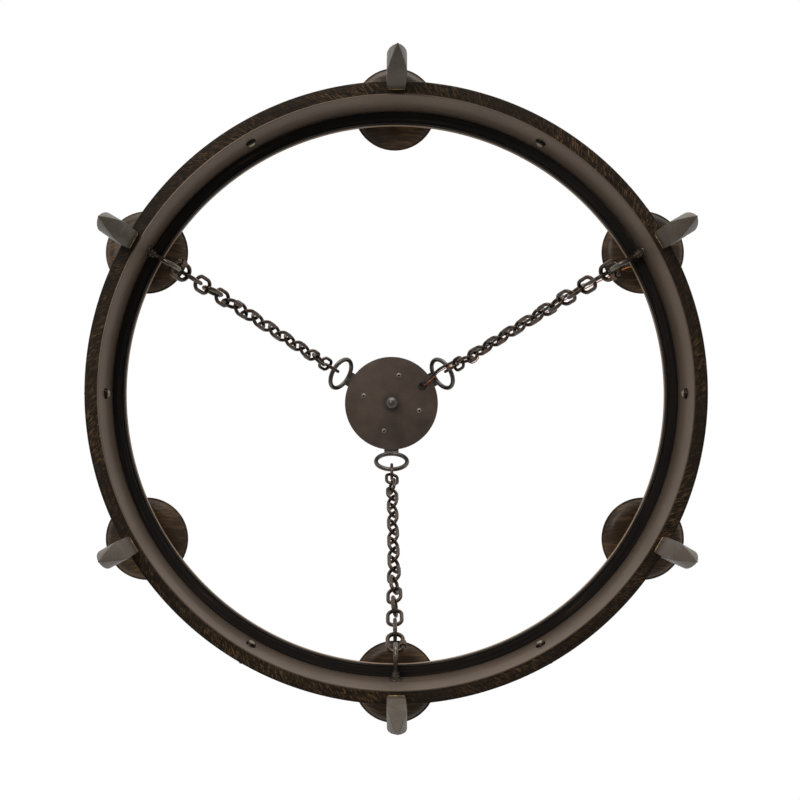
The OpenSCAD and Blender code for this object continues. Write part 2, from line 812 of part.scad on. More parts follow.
cord_top = wheel_z + cap_top + cord_d / 2 + 0.4;
CORD = route(
    [
        [joint_r + 0.4, joint_side, joint_z],
        [joint_r + 6, joint_side, joint_z + 0.3],
        [cord_way_r - 9, 6.5, joint_z + 3],
        [cord_way_r - 4, 2.5, joint_z + 5],
        [cord_way_r - 0.4, -0.8, joint_z + 2.5],
        [cord_way_r, -1.1, joint_z - 4],
        [cord_way_r, -1.1, -canopy_h - 3],
        [cord_way_r + 7, -2.7, -canopy_h - 11]
    ],
    [
        [-12, -6, 0.03],
        [-11.5, -9, 0.068],
        [-9, -9.5, 0.104],
        [8, -7.5, 0.136],
        [above, -3, 0.17],
        [above + 0.5, -3.5, 0.22],
        [above, -1.5, 0.29],
        [above + 0.5, -3, 0.43],
        [above + 1, -1, 0.57],
        [above + 0.5, -3, 0.71],
        [above + 1, -1, 0.85]
    ],
    [
        [cap_ir - 22, 1, cord_top + 14],
        [cap_ir - 6, 3, cord_top + 3.5],
        [cap_ir + 6, 7.5, cord_top],
        [groove_r - 11, 17, cord_top + 1.5],
        [groove_r - 4, cord_side - 1.5, cord_top + 3.8],
        [groove_r - 0.4, cord_side - 1, cord_top + 1],
        [groove_r, cord_side - 1, wheel_z + cap_top - 4],
        [groove_r, cord_side - 1, wheel_z + hoop_h + wire_d + 0.3]
    ]
);

// The ground wire runs beside the cord, with one wider bow over the second and third links
ground_joint = joint_side + con_pitch * 3 / 2;
ground_top = wheel_z + cap_top + ground_d / 2 + 0.3;
GROUND = route(
    [
        [joint_r - 5.7, ground_joint, joint_z],
        [joint_r + 2, ground_joint, joint_z + 0.2],
        [cord_way_r - 10, 19, joint_z + 2],
        [cord_way_r - 2.5, 8, joint_z + 2],
        [cord_way_r, 2.9, joint_z - 2],
        [cord_way_r, 2.6, -canopy_h - 3],
        [cord_way_r + 7, 1, -canopy_h - 11.3]
    ],
    [
        [-11.5, -2.4, 0.03],
        [-11, -5.4, 0.068],
        [-8.5, -5.4, 0.104],
        [9.5, -3.7, 0.138],
        [above, 2, 0.168],
        [above - 3, 10, 0.19],
        [above - 4, 12.5, 0.215],
        [above - 3, 10, 0.24],
        [above, 3, 0.275],
        [above + 0.5, 3.7, 0.54],
        [above, 1.5, 0.71],
        [above + 0.5, 4, 0.85]
    ],
    [
        [cap_ir - 22, 6, ground_top + 14.5],
        [cap_ir - 6, 7.5, ground_top + 3.5],
        [cap_ir + 6, 12, ground_top],
        [groove_r - 11, 21.5, ground_top + 0.5],
        [groove_r - 4, cord_side + 2.5, ground_top + 2.2],
        [groove_r - 0.4, cord_side + 2.5, ground_top],
        [groove_r, cord_side + 2.5, wheel_z + cap_top - 5],
        [groove_r, cord_side + 2.5, wheel_z + hoop_h + wire_d + 0.3]
    ]
);
cord_steps = 3;
cord_sides = 8;

function spline(p, i, t) =
    let (a = p[max(i - 1, 0)], b = p[i], c = p[i + 1], d = p[min(i + 2, len(p) - 1)])
    0.5 * (2 * b + (c - a) * t + (2 * a - 5 * b + 4 * c - d) * t * t + (3 * b - a - 3 * c + d) * t * t * t);

function unit(v) = v / norm(v);

module swept_tube(route, d, steps, sides) {
    path = [
        for (i = [0 : len(route) - 2]) for (j = [0 : steps - 1]) spline(route, i, j / steps),
        route[len(route) - 1]
    ];
    n = len(path);
    rings = [for (i = [0 : n - 1])
        let (
            along = unit(path[min(i + 1, n - 1)] - path[max(i - 1, 0)]),
            u = unit(cross(along, [0, 1, 0])),
            v = cross(along, u)
        )
        for (s = [0 : sides - 1]) path[i] + d / 2 * (cos(360 * s / sides) * u + sin(360 * s / sides) * v)
    ];
    skin = [for (i = [0 : n - 2]) for (s = [0 : sides - 1])
        let (a = i * sides + s, b = i * sides + (s + 1) % sides)
        each [[a, a + sides, b], [b, a + sides, b + sides]]
    ];
    ends = [
        [for (s = [0 : sides - 1]) s],
        [for (s = [sides - 1 : -1 : 0]) (n - 1) * sides + s]
    ];
    polyhedron(points = rings, faces = concat(skin, ends));
}

module supply_cord() {
    color("#171514") at_angle(CHAINS[2]) swept_tube(CORD, cord_d, cord_steps, cord_sides);
}

module ground_wire() {
    color("#b5683a") at_angle(CHAINS[2]) swept_tube(GROUND, ground_d, cord_steps, cord_sides);
}

mounting_bar();
centre_stud();
stud_nuts();
hanger_plate();
canopy();
canopy_screws();
canopy_knob();
cord_bushing();
wire_connectors();
supply_cord();
ground_wire();
lamp_wires();
chain_rings();
chain(0);  // chain_1
chain(1);  // chain_2
chain(2);  // chain_3
screw_link(0);  // screw_link_1
screw_link(1);  // screw_link_2
screw_link(2);  // screw_link_3
link_sleeve(0);  // link_sleeve_1
link_sleeve(1);  // link_sleeve_2
link_sleeve(2);  // link_sleeve_3
eye_bolt(0);  // eye_bolt_1
eye_bolt(1);  // eye_bolt_2
eye_bolt(2);  // eye_bolt_3
eye_nuts();
eye_washers();
wood_hoop();
hoop_liner();
cap_ring();
cap_edge_band();
wall_bolts();
wall_nuts();
arm_screws();
arm(0);  // arm_1
arm(1);  // arm_2
arm(2);  // arm_3
arm(3);  // arm_4
arm(4);  // arm_5
arm(5);  // arm_6
drip_dish(0);  // drip_dish_1
drip_dish(1);  // drip_dish_2
drip_dish(2);  // drip_dish_3
drip_dish(3);  // drip_dish_4
drip_dish(4);  // drip_dish_5
drip_dish(5);  // drip_dish_6
candle(0);  // candle_1
candle(1);  // candle_2
candle(2);  // candle_3
candle(3);  // candle_4
candle(4);  // candle_5
candle(5);  // candle_6
lamp_sockets();
nipples();
lamp(0);  // lamp_1
lamp(1);  // lamp_2
lamp(2);  // lamp_3
lamp(3);  // lamp_4
lamp(4);  // lamp_5
lamp(5);  // lamp_6
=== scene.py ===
import random
from math import asin, cos, pi, radians, sin, sqrt

import bmesh
import bpy
from mathutils import Matrix, Vector


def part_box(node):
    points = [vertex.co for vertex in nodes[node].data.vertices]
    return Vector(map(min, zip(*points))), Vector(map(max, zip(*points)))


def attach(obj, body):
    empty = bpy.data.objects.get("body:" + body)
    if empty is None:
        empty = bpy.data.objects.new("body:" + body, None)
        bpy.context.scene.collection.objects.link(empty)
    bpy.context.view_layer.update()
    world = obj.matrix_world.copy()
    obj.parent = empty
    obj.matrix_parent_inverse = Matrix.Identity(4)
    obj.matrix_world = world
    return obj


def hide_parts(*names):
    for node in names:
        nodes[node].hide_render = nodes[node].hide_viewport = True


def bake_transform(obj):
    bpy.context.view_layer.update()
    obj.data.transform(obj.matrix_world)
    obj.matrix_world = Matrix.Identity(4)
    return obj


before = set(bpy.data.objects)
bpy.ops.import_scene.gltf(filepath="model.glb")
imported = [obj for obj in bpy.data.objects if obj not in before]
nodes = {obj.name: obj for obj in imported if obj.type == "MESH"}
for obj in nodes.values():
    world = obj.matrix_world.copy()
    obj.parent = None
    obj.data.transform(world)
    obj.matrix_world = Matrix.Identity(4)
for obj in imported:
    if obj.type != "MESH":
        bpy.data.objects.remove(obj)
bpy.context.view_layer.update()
MM = 0.001

# Sizes shared with the CAD part, in millimetres
RIM_R, HOOP_IR, LINER_IR = 406.0, 389.0, 387.0
EDGE_OR, CAP_IR = 374.0, 372.0
HOOP_H, CAP_T = 66.0, 17.0
CAP_TOP = HOOP_H + CAP_T
POST_TOP = CAP_TOP + 22.0
ARM_HALF = 12.5
SPIKE_STRAIGHT, SPIKE_POINT = 60.0, 62.0
DISH_R, DISH_H, DISH_T = 58.5, 9.0, 2.5
CANDLE_Z = POST_TOP + DISH_T
CANDLE_L, CANDLE_R, CANDLE_WALL = 100.0, 12.0, 1.2
NIPPLE_R, NIPPLE_BORE, NIPPLE_Z, NIPPLE_TOP = 5.0, 3.5, -8.0, 12.0
BULB_R, BULB_H = 17.5, 76.0
LAMP_CAP_R, LAMP_CAP_H = 7.0, 26.0
M6_R, NUT_AF, NUT_H = 3.0, 10.0, 5.0
WASHER_R, WASHER_T = 8.5, 1.6
BOLT_Z, BOLT_HEAD_R, BOLT_HEAD_H, BOLT_L = 32.0, 7.3, 6.0, 25.0
EYE_R, EYE_Z, EYE_LOOP_R, EYE_END = 354.0, 52.0, 15.0, 428.1
ARM_SCREW_Z = 18.0
CANOPY_R, CANOPY_H, CANOPY_T = 86.5, 26.0, 1.5
SCREW_R, SCREW_HEAD_R = 53.5, 4.75
STUD_R, STUD_L = 5.0, 64.0
KNOB_R, KNOB_NECK_R, KNOB_DROP = 11.0, 7.0, 27.0
CHAINS = (90, 210, 330)
ARMS = (30, 90, 150, 210, 270, 330)

# Chain frame: -Z runs down the chain, Y is tangential to the wheel
HANG_R, PLATE_Z = 94.0, -22.5
RING_ROD = 8.0
RING_CL = 65.0 - RING_ROD
LINE_L = 553.75
TILT = asin((EYE_R - HANG_R) / LINE_L)
LINK_COUNT = 18
LINK_L, LINK_W, LINK_D = 37.0, 25.5, 5.6
SLACK = 0.25
PITCH = LINK_L - 2 * LINK_D - SLACK
FIRST_BEND = RING_CL - RING_ROD / 2 - LINK_D / 2 - SLACK
QL_L, QL_W, QL_D = 42.0, 27.0, 6.0
LAST_BEND = FIRST_BEND + (LINK_COUNT - 1) * PITCH + LINK_L - LINK_D
QL_MID = LAST_BEND - LINK_D / 2 - QL_D / 2 - SLACK + (QL_L - QL_D) / 2
SLEEVE_SIDE = (-1, 1, 1)

# Cord and ground wire: both follow the third chain and end in the groove on the rim
CORD_D, GROUND_D = 5.0, 1.8
ABOVE = QL_W / 2 + CORD_D / 2 + 0.6
CORD_WAY_R = 66.0
JOINT_R, JOINT_SIDE = CORD_WAY_R - 22, 10.0
JOINT_Z = -CANOPY_H + CANOPY_T + 4.0 + 4.5
GROOVE_R, CORD_SIDE = 400.0, 22.0
ROUTE_STEPS = 8
RIM_POINTS = 8              # of a route's points, those from the rim's bore on
BEND_END_SHARE = 0.15       # of the chain's length, where the bend below the canopy ends
RIM_BEND = (0.236, 0.375)   # metres from the axis, where the bend of the lower piece starts and ends

WHEEL_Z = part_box("wood_hoop")[0].z / MM

# Camera solved from the rim's circles in the photograph
PHOTO_PX = 800
SHIFT_PX = (19.6, 27.9)
CAMERA_X, CAMERA_Y, CAMERA_DROP = -0.0205, 0.0458, 1248.0


def make_camera():
    data = bpy.data.cameras.new("camera")
    data.sensor_width = 36.0
    data.lens = 43.2
    data.shift_x, data.shift_y = (shift / PHOTO_PX for shift in SHIFT_PX)
    data.clip_start, data.clip_end = 0.01, 20.0
    cam = bpy.data.objects.new("camera", data)
    bpy.context.collection.objects.link(cam)
    cam.location = (CAMERA_X, CAMERA_Y, (WHEEL_Z - CAMERA_DROP) * MM)
    cam.rotation_euler = (pi, 0, 0)
    bpy.context.scene.camera = cam


# ---- places

def ring_point(r, a, z):
    """Point in metres at radius r and height z in mm and at angle a in radians."""
    return Vector((r * cos(a) * MM, r * sin(a) * MM, z * MM))


def move(x, y, z):
    """Translation given in mm."""
    return Matrix.Translation((x * MM, y * MM, z * MM))


def turn_z(degrees):
    return Matrix.Rotation(radians(degrees), 4, "Z")


def spot(angle, r=0.0, y=0.0, z=0.0):
    """Matrix of a spot on the wheel: local X points outward, local Z up."""
    return turn_z(angle) @ move(r, y, WHEEL_Z + z)


def outward(angle, r, z):
    """Matrix whose local Z points outward along the wheel's radius."""
    return spot(angle, r, 0, z) @ Matrix.Rotation(pi / 2, 4, "Y")


def on_chain(k):
    """Matrix of the chain frame of chain k."""
    return turn_z(CHAINS[k]) @ move(HANG_R, 0, PLATE_Z) @ Matrix.Rotation(-TILT, 4, "Y")


def liner_seat(d):
    """Radius at which a flat round piece of diameter d rests on the curved liner."""
    return sqrt(LINER_IR ** 2 - d * d / 4)


# ---- outlines, in mm

def section(inner, outer, low, high):
    return [(inner, low), (outer, low), (outer, high), (inner, high)]


def round_corners(points, radii, steps=3):
    """Rounds the corners of a closed outline, one radius for each."""
    out = []
    for i, (point, rad) in enumerate(zip(points, radii)):
        a, b, c = Vector(points[i - 1]), Vector(point), Vector(points[(i + 1) % len(points)])
        if rad <= 0:
            out.append(tuple(b))
            continue
        rad = min(rad, 0.45 * (a - b).length, 0.45 * (c - b).length)
        p0, p1 = b + (a - b).normalized() * rad, b + (c - b).normalized() * rad
        for k in range(steps + 1):
            t = k / steps
            out.append(tuple((1 - t) ** 2 * p0 + 2 * t * (1 - t) * b + t * t * p1))
    return out


def arc(cx, cy, r, a0, a1, n):
    """Points of an arc from angle a0 to a1 in degrees, in n steps."""
    angles = [radians(a0 + (a1 - a0) * i / n) for i in range(n + 1)]
    return [(cx + r * cos(a), cy + r * sin(a)) for a in angles]


def dome(r, h, steps, start=0.0):
    """Round head of radius r and height h below zero, from radius start out to its rim."""
    big = (h ** 2 + r ** 2) / (2 * h)
    first, last = asin(start / big), asin(r / big)
    points = []
    for i in range(steps + 1):
        t = first + (last - first) * i / steps
        points.append((big * sin(t), -(h - big + big * cos(t))))
    return points


def hexagon(flat, a):
    """Radius at angle a of a hexagon whose flats lie at radius flat."""
    return flat / cos((a + pi / 6) % (pi / 3) - pi / 6)


def square_ring(half, bevel, inner=None, steps=3):
    """Square with rounded corners. inner is the radius of the two on the -X side."""
    pts = []
    for q in range(4):
        outside = q in (0, 3)
        round_r = min(bevel if inner is None or outside else inner, half * 0.8)
        cx = (half - round_r) * (1 if outside else -1)
        cy = (half - round_r) * (1 if q in (0, 1) else -1)
        base = radians(45 + 90 * q)
        for k in range(steps + 1):
            a = base - pi / 4 + pi / 2 * k / steps
            pts.append((cx + round_r * cos(a), cy + round_r * sin(a)))
    return pts


def thread_outline(r, z0, z1, pitch, depth=0.28):
    pts = []
    z = z0
    while z < z1 - pitch:
        pts += [(r - depth, z), (r, z + pitch * 0.4), (r, z + pitch * 0.6)]
        z += pitch
    return pts


# ---- meshes

def new_object(name, bm, smooth):
    """Smooth object from a mesh, with edges sharper than smooth degrees kept hard."""
    mesh = bpy.data.meshes.new(name)
    bmesh.ops.recalc_face_normals(bm, faces=bm.faces)
    bm.normal_update()
    limit = radians(smooth)
    for face in bm.faces:
        face.smooth = True
    for edge in bm.edges:
        edge.smooth = len(edge.link_faces) == 2 and edge.calc_face_angle(0.0) <= limit
    bm.to_mesh(mesh)
    bm.free()
    obj = bpy.data.objects.new(name, mesh)
    bpy.context.collection.objects.link(obj)
    return obj


def skin(bm, rings, wrap=False):
    """Quads between a row of rings of vertices. Its ends are closed unless the row wraps."""
    for a, b in zip(rings, rings[1:] + rings[:wrap]):
        for k in range(len(a)):
            m = (k + 1) % len(a)
            bm.faces.new([a[k], a[m], b[m], b[k]])
    if not wrap:
        bm.faces.new(list(reversed(rings[0])))
        bm.faces.new(rings[-1])


def stack_rows(bm, place, rows):
    """Skins a stack of (z, outline) rows in mm."""
    skin(bm, [[bm.verts.new(place @ (Vector((x, y, z)) * MM)) for x, y in shape] for z, shape in rows])


def add_lathe(bm, profile, segs, place, closed=True):
    """Revolves a list of (r, z) in mm about local Z. place maps local metres to the row frame."""
    angles = [2 * pi * i / segs for i in range(segs)]
    rings = [[bm.verts.new(place @ ring_point(r, a, z)) for r, z in profile] for a in angles]
    count = len(profile)
    for ring, after in zip(rings, rings[1:] + rings[:1]):
        for k in range(count if closed else count - 1):
            m = (k + 1) % count
            off_axis = [q for q in (k, m) if profile[q][0] >= 1e-6]
            if off_axis:
                bm.faces.new([ring[k]] + [after[q] for q in off_axis] + [ring[m]])
    bmesh.ops.remove_doubles(bm, verts=[v for ring in rings for v in ring], dist=1e-7)


def add_tube(bm, path, radius, sides=16, closed=False):
    """Sweeps a circle along points in metres. radius is one number or one for each point."""
    n = len(path)
    radii = radius if isinstance(radius, list) else [radius] * n
    normal = None
    rings = []
    for i, (point, r) in enumerate(zip(path, radii)):
        before = path[i - 1] if i or closed else point
        after = path[(i + 1) % n] if i < n - 1 or closed else point
        along = (after - before).normalized()
        if normal is None:
            normal = along.orthogonal().normalized()
        normal = (normal - along * normal.dot(along)).normalized()
        side = along.cross(normal)
        ring = []
        for k in range(sides):
            t = 2 * pi * k / sides
            ring.append(bm.verts.new(point + (normal * cos(t) + side * sin(t)) * r))
        rings.append(ring)
    skin(bm, rings, closed)


def add_nut(bm, af, height, bore, place, chamfer, segs=48):
    """Hexagon nut with chamfered corners along local Z from 0 to height, all in mm."""
    flat = af / 2
    reach = flat / cos(pi / 6) - flat
    angles = [2 * pi * i / segs for i in range(segs)]
    rings = []
    for level in range(4):
        ring = []
        for a in angles:
            r, inset = flat * 0.985, 0.0
            if level in (1, 2):
                r = hexagon(flat, a)
                inset = max((r - flat) / reach * chamfer, 0.05)
            ring.append(bm.verts.new(place @ ring_point(r, a, inset if level < 2 else height - inset)))
        rings.append(ring)
    rings += [[bm.verts.new(place @ ring_point(bore, a, z)) for a in angles] for z in (height, 0.0)]
    skin(bm, rings, True)


# ---- materials

class Nodes:
    """Short hand for building a node tree."""

    def __init__(self, owner):
        owner.use_nodes = True
        self.nt = owner.node_tree
        self.nt.nodes.clear()

    def node(self, kind, **props):
        n = self.nt.nodes.new(kind)
        for k, v in props.items():
            setattr(n, k, v)
        return n

    def put(self, value, socket):
        if isinstance(value, bpy.types.NodeSocket):
            self.nt.links.new(value, socket)
        elif isinstance(value, tuple) and len(value) == 3 and socket.type == "RGBA":
            socket.default_value = (*value, 1)
        else:
            socket.default_value = value

    def fill(self, kind, *values, out=0, **props):
        """Node whose first inputs take the values. Returns its output."""
        n = self.node(kind, **props)
        for value, socket in zip(values, n.inputs):
            self.put(value, socket)
        return n.outputs[out]

    def math(self, op, *values):
        return self.fill("ShaderNodeMath", *values, operation=op)

    def mul(self, a, b):
        return self.math("MULTIPLY", a, b)

    def add(self, a, b):
        return self.math("ADD", a, b)

    def sub(self, a, b):
        return self.math("SUBTRACT", a, b)

    def vary(self, base, wave, swing):
        """Value that swings about base with a wave whose middle is a half."""
        return self.add(base, self.mul(self.sub(wave, 0.5), swing))

    def split(self, vector):
        n = self.node("ShaderNodeSeparateXYZ")
        self.put(vector, n.inputs[0])
        return tuple(n.outputs)

    def join(self, x, y, z):
        return self.fill("ShaderNodeCombineXYZ", x, y, z)

    def scaled(self, vector, x, y, z):
        return self.fill("ShaderNodeVectorMath", vector, (x, y, z), operation="MULTIPLY")

    def noise(self, vector, scale, detail=4.0, rough=0.55, distort=0.0, color=False):
        n = self.node("ShaderNodeTexNoise")
        names = ("Vector", "Scale", "Detail", "Roughness", "Distortion")
        for name, value in zip(names, (vector, scale, detail, rough, distort)):
            self.put(value, n.inputs[name])
        return n.outputs["Color" if color else "Fac"]

    def ramp(self, fac, *stops):
        n = self.node("ShaderNodeValToRGB")
        self.put(fac, n.inputs[0])
        while len(n.color_ramp.elements) < len(stops):
            n.color_ramp.elements.new(0.5)
        for e, (place, col) in zip(n.color_ramp.elements, stops):
            e.position = place
            e.color = (*col, 1) if isinstance(col, tuple) else (col, col, col, 1)
        return n.outputs[0]

    def rise(self, fac, low, high, top=1.0):
        """Nothing up to low, then a rise to top at high."""
        return self.ramp(fac, (low, 0.0), (high, top))

    def mix(self, fac, a, b):
        n = self.node("ShaderNodeMix", data_type="RGBA")
        for value, socket in zip((fac, a, b), (n.inputs[0], n.inputs[6], n.inputs[7])):
            self.put(value, socket)
        return n.outputs[2]


class Tree(Nodes):
    """One material's nodes round a Principled shader."""

    def __init__(self, name):
        self.mat = bpy.data.materials.new(name)
        super().__init__(self.mat)
        out = self.node("ShaderNodeOutputMaterial")
        self.bsdf = self.node("ShaderNodeBsdfPrincipled")
        self.put(self.bsdf.outputs[0], out.inputs[0])
        self.pos = self.node("ShaderNodeTexCoord").outputs["Object"]

    def edges(self, size=0.0015):
        """Share of wear at sharp edges, from the shading bevel against the true normal."""
        bevel = self.fill("ShaderNodeBevel", size, samples=4)
        normal = self.node("ShaderNodeNewGeometry").outputs["Normal"]
        along = self.fill("ShaderNodeVectorMath", bevel, normal, out="Value", operation="DOT_PRODUCT")
        return self.rise(self.sub(1.0, along), 0.02, 0.22)

    def bump(self, height, strength, distance, normal=None):
        n = self.node("ShaderNodeBump")
        self.put(strength, n.inputs["Strength"])
        self.put(distance, n.inputs["Distance"])
        self.put(height, n.inputs["Height"])
        if normal is not None:
            self.put(normal, n.inputs["Normal"])
        return n.outputs[0]

    def polar(self, r0=0.4):
        """Coordinates round the wheel: arc length at r0, radius, height, in metres."""
        x, y, z = self.split(self.pos)
        r = self.math("SQRT", self.add(self.mul(x, x), self.mul(y, y)))
        return self.mul(self.math("ARCTAN2", y, x), r0), r, z

    def lengthwise(self, along, across):
        """Coordinates round the wheel for a pattern drawn out along the rim."""
        arc_length, r, z = self.polar()
        return self.join(self.mul(arc_length, along), self.mul(r, across), self.mul(z, across))

    def done(self, color, rough, metallic=0.0, normal=None, **more):
        inputs = {"Base Color": color, "Roughness": rough, "Metallic": metallic, "Normal": normal}
        inputs.update({name.replace("_", " "): value for name, value in more.items()})
        for name, value in inputs.items():
            if value is not None:
                self.put(value, self.bsdf.inputs[name])
        return self.mat


def shade(tone, k):
    return tuple(min(1.0, c * k) for c in tone)


def srgb(r, g, b):
    """Linear colour of an 8-bit display colour."""
    shares = (r / 255, g / 255, b / 255)
    return tuple(c / 12.92 if c <= 0.04045 else ((c + 0.055) / 1.055) ** 2.4 for c in shares)


def bronze(name, tone, wear_and_highlight, rough, metallic, wear, mottle):
    """Oil-rubbed bronze: mottled dark lacquer, rubbed paler at the edges."""
    t = Tree(name)
    cloud = t.noise(t.pos, 38.0, 5.0, 0.6)
    fine = t.noise(t.pos, 420.0, 3.0, 0.6)
    light = shade(tone, 1 + mottle)
    col = t.mix(t.rise(cloud, 0.32, 0.68), shade(tone, 1 - mottle), light)
    col = t.mix(t.mul(t.rise(fine, 0.45, 0.75), 0.25), col, light)
    patchy = t.ramp(t.noise(t.pos, 90.0, 4.0, 0.7), (0.35, 0.15), (0.62, 1.0))
    col = t.mix(t.mul(t.mul(t.edges(), patchy), wear), col, wear_and_highlight)
    nrm = t.bump(cloud, 0.12, 0.0015, t.bump(fine, 0.10, 0.0006))
    return t.done(col, t.vary(rough, cloud, 0.22), metallic, nrm)


def canopy_skin(name):
    """Brown lacquered sheet with soft stains, and a painted shadow that darkens it round the knob at its
    centre.
    """
    t = Tree(name)
    cloud = t.noise(t.pos, 22.0, 5.0, 0.6)
    warm = t.noise(t.pos, 9.0, 3.0, 0.5)
    fine = t.noise(t.pos, 420.0, 3.0, 0.6)
    col = t.mix(t.rise(cloud, 0.32, 0.68), srgb(72, 59, 52), srgb(98, 83, 75))
    col = t.mix(t.mul(t.rise(warm, 0.4, 0.65), 0.35), col, srgb(84, 68, 50))
    col = t.mix(t.mul(t.rise(fine, 0.45, 0.75), 0.2), col, srgb(104, 88, 76))
    # painted shadow: the sheet is darkened round its centre, where the knob shades it
    reach = 0.025
    centre = t.mul(t.polar()[1], 1 / reach)
    knob_shadow = t.ramp(centre, (0.34, 0.85), (0.5, 0.55), (0.86, 0.0))
    col = t.mix(knob_shadow, col, srgb(34, 27, 22))
    col = t.mix(t.mul(t.edges(), 0.25), col, srgb(132, 112, 92))
    ro = t.vary(0.46, cloud, 0.2)
    nrm = t.bump(fine, 0.10, 0.0006)
    return t.done(col, ro, 0.35, t.bump(cloud, 0.12, 0.0015, nrm))


def arm_iron(name, tone, wear_and_highlight):
    """Forged iron with a pitted dark skin, a painted highlight of golden flecks along its foot where it meets
    the hoop, and painted shade on faces that turn up or down.
    """
    t = Tree(name)
    cloud = t.noise(t.pos, 34.0, 5.0, 0.6)
    fine = t.noise(t.pos, 520.0, 3.0, 0.6)
    pits = t.noise(t.pos, 210.0, 4.0, 0.7)
    dark = shade(tone, 0.72)
    col = t.mix(t.rise(cloud, 0.32, 0.68), dark, tone)
    col = t.mix(t.mul(t.rise(fine, 0.48, 0.72), 0.3), col, wear_and_highlight)
    col = t.mix(t.ramp(pits, (0.24, 0.6), (0.38, 0.0)), col, shade(tone, 0.3))
    patchy = t.ramp(t.noise(t.pos, 90.0, 4.0, 0.7), (0.40, 0.1), (0.62, 1.0))
    rub_and_highlight = t.mul(t.edges(0.0007), patchy)
    col = t.mix(t.mul(rub_and_highlight, 0.5), col, wear_and_highlight)
    # painted highlight: golden flecks on the arm's inner face, in a thin band just below the hoop
    height = t.sub(t.split(t.pos)[2], WHEEL_Z * MM)
    foot_glint_band = t.math("COMPARE", height, -0.0019, 0.0016)
    glint_flecks = t.ramp(t.noise(t.pos, 300.0, 2.0, 0.5), (0.44, 0.15), (0.56, 1.0))
    inward = t.sub((RIM_R - ARM_HALF + 1.2) * MM, t.polar()[1])
    foot = t.mul(foot_glint_band, t.rise(t.mul(inward, 1000.0), 0.0, 0.5))
    col = t.mix(t.mul(foot, glint_flecks), col, srgb(226, 196, 140))
    ro = t.vary(0.38, cloud, 0.25)
    nrm = t.bump(fine, 0.16, 0.0006)
    nrm = t.bump(pits, 0.22, 0.0012, nrm)
    # painted shade: faces that turn up or down are darkened, the upright sides are not
    side = t.math("ABSOLUTE", t.split(t.node("ShaderNodeNewGeometry").outputs["Normal"])[2])
    col = t.mix(t.rise(side, 0.0, 0.35, 0.35), col, dark)
    return t.done(col, ro, 0.2, nrm, Specular_IOR_Level=0.2)


def bolt_dome(name):
    """Dark bolt head with a painted highlight of bright brass on its dome, its flanks left dark."""
    t = Tree(name)
    fine = t.noise(t.pos, 420.0, 3.0, 0.6)
    # painted highlight: the part of the dome that stands furthest from the liner turns bright brass
    proud = t.mul(t.sub(LINER_IR * MM, t.polar()[1]), 100.0)
    wear_and_highlight = t.mul(t.rise(proud, 0.36, 0.50), t.ramp(fine, (0.36, 0.35), (0.6, 1.0)))
    col = t.mix(wear_and_highlight, srgb(34, 28, 23), srgb(150, 136, 118))
    return t.done(col, 0.26, 0.85, t.bump(fine, 0.2, 0.0008))


def streaked_wood(name):
    """Coffee-stained wood with fine grain round the wheel and golden brush marks in patches."""
    t = Tree(name)
    length, r, z = t.polar()
    run = t.add(r, z)
    slant = t.join(
        t.mul(t.add(length, t.mul(run, 0.9)), 620.0),
        t.mul(t.sub(run, t.mul(length, 0.8)), 90.0),
        t.mul(z, 20.0),
    )
    along = t.lengthwise(14.0, 420.0)
    grain = t.noise(along, 1.0, 6.0, 0.66, 0.5)
    pores = t.noise(along, 3.0, 4.0, 0.7)
    ticks = t.noise(slant, 1.0, 6.0, 0.7, 0.6)
    outer = t.rise(t.mul(t.sub(r, (RIM_R - 3.0) * MM), 100.0), 0.0, 0.3)
    level = t.join(t.mul(length, 22.0), 0.0, t.mul(z, 520.0))
    runs = t.noise(level, 1.0, 6.0, 0.66, 0.8)
    streak = t.mix(outer, ticks, runs)
    patch = t.noise(t.pos, 13.0, 3.0, 0.55)
    base = t.mix(t.rise(grain, 0.34, 0.70), srgb(22, 17, 13), srgb(48, 39, 31))
    where = t.ramp(patch, (0.40, 0.25), (0.60, 1.0))
    gold = t.mul(t.rise(streak, 0.52, 0.63), where)
    col = t.mix(t.mul(gold, 0.5), base, srgb(158, 122, 78))
    col = t.mix(t.mul(t.rise(pores, 0.54, 0.70), 0.55), col, srgb(12, 8, 6))
    wear_and_highlight = t.rise(t.noise(t.pos, 120.0, 4.0, 0.7), 0.50, 0.62, 0.3)
    wear_and_highlight = t.mul(wear_and_highlight, outer)
    col = t.mix(t.mul(t.edges(0.0014), wear_and_highlight), col, srgb(150, 116, 74))
    rough = t.add(0.5, t.mul(grain, 0.2))
    nrm = t.bump(grain, 0.25, 0.0006)
    nrm = t.bump(pores, 0.18, 0.0004, nrm)
    return t.done(col, rough, 0.0, nrm, Specular_IOR_Level=0.1)


def black_wood(name):
    """Nearly black stained wood whose grain shows faintly, with a few worn brown marks."""
    t = Tree(name)
    grain = t.noise(t.lengthwise(7.0, 330.0), 1.0, 6.0, 0.66, 0.4)
    patch = t.noise(t.pos, 16.0, 4.0, 0.6)
    base = t.mix(t.rise(grain, 0.36, 0.72), srgb(15, 12, 10), srgb(38, 33, 30))
    mark = t.mul(t.rise(grain, 0.56, 0.66), t.rise(patch, 0.50, 0.64))
    col = t.mix(t.mul(mark, 0.45), base, srgb(104, 80, 56))
    wear_and_highlight = t.rise(t.noise(t.pos, 110.0, 4.0, 0.7), 0.48, 0.62, 0.5)
    col = t.mix(t.mul(t.edges(0.0014), wear_and_highlight), col, srgb(128, 100, 68))
    rough = t.add(0.55, t.mul(grain, 0.15))
    return t.done(col, rough, 0.0, t.bump(grain, 0.2, 0.0006), Specular_IOR_Level=0.18)


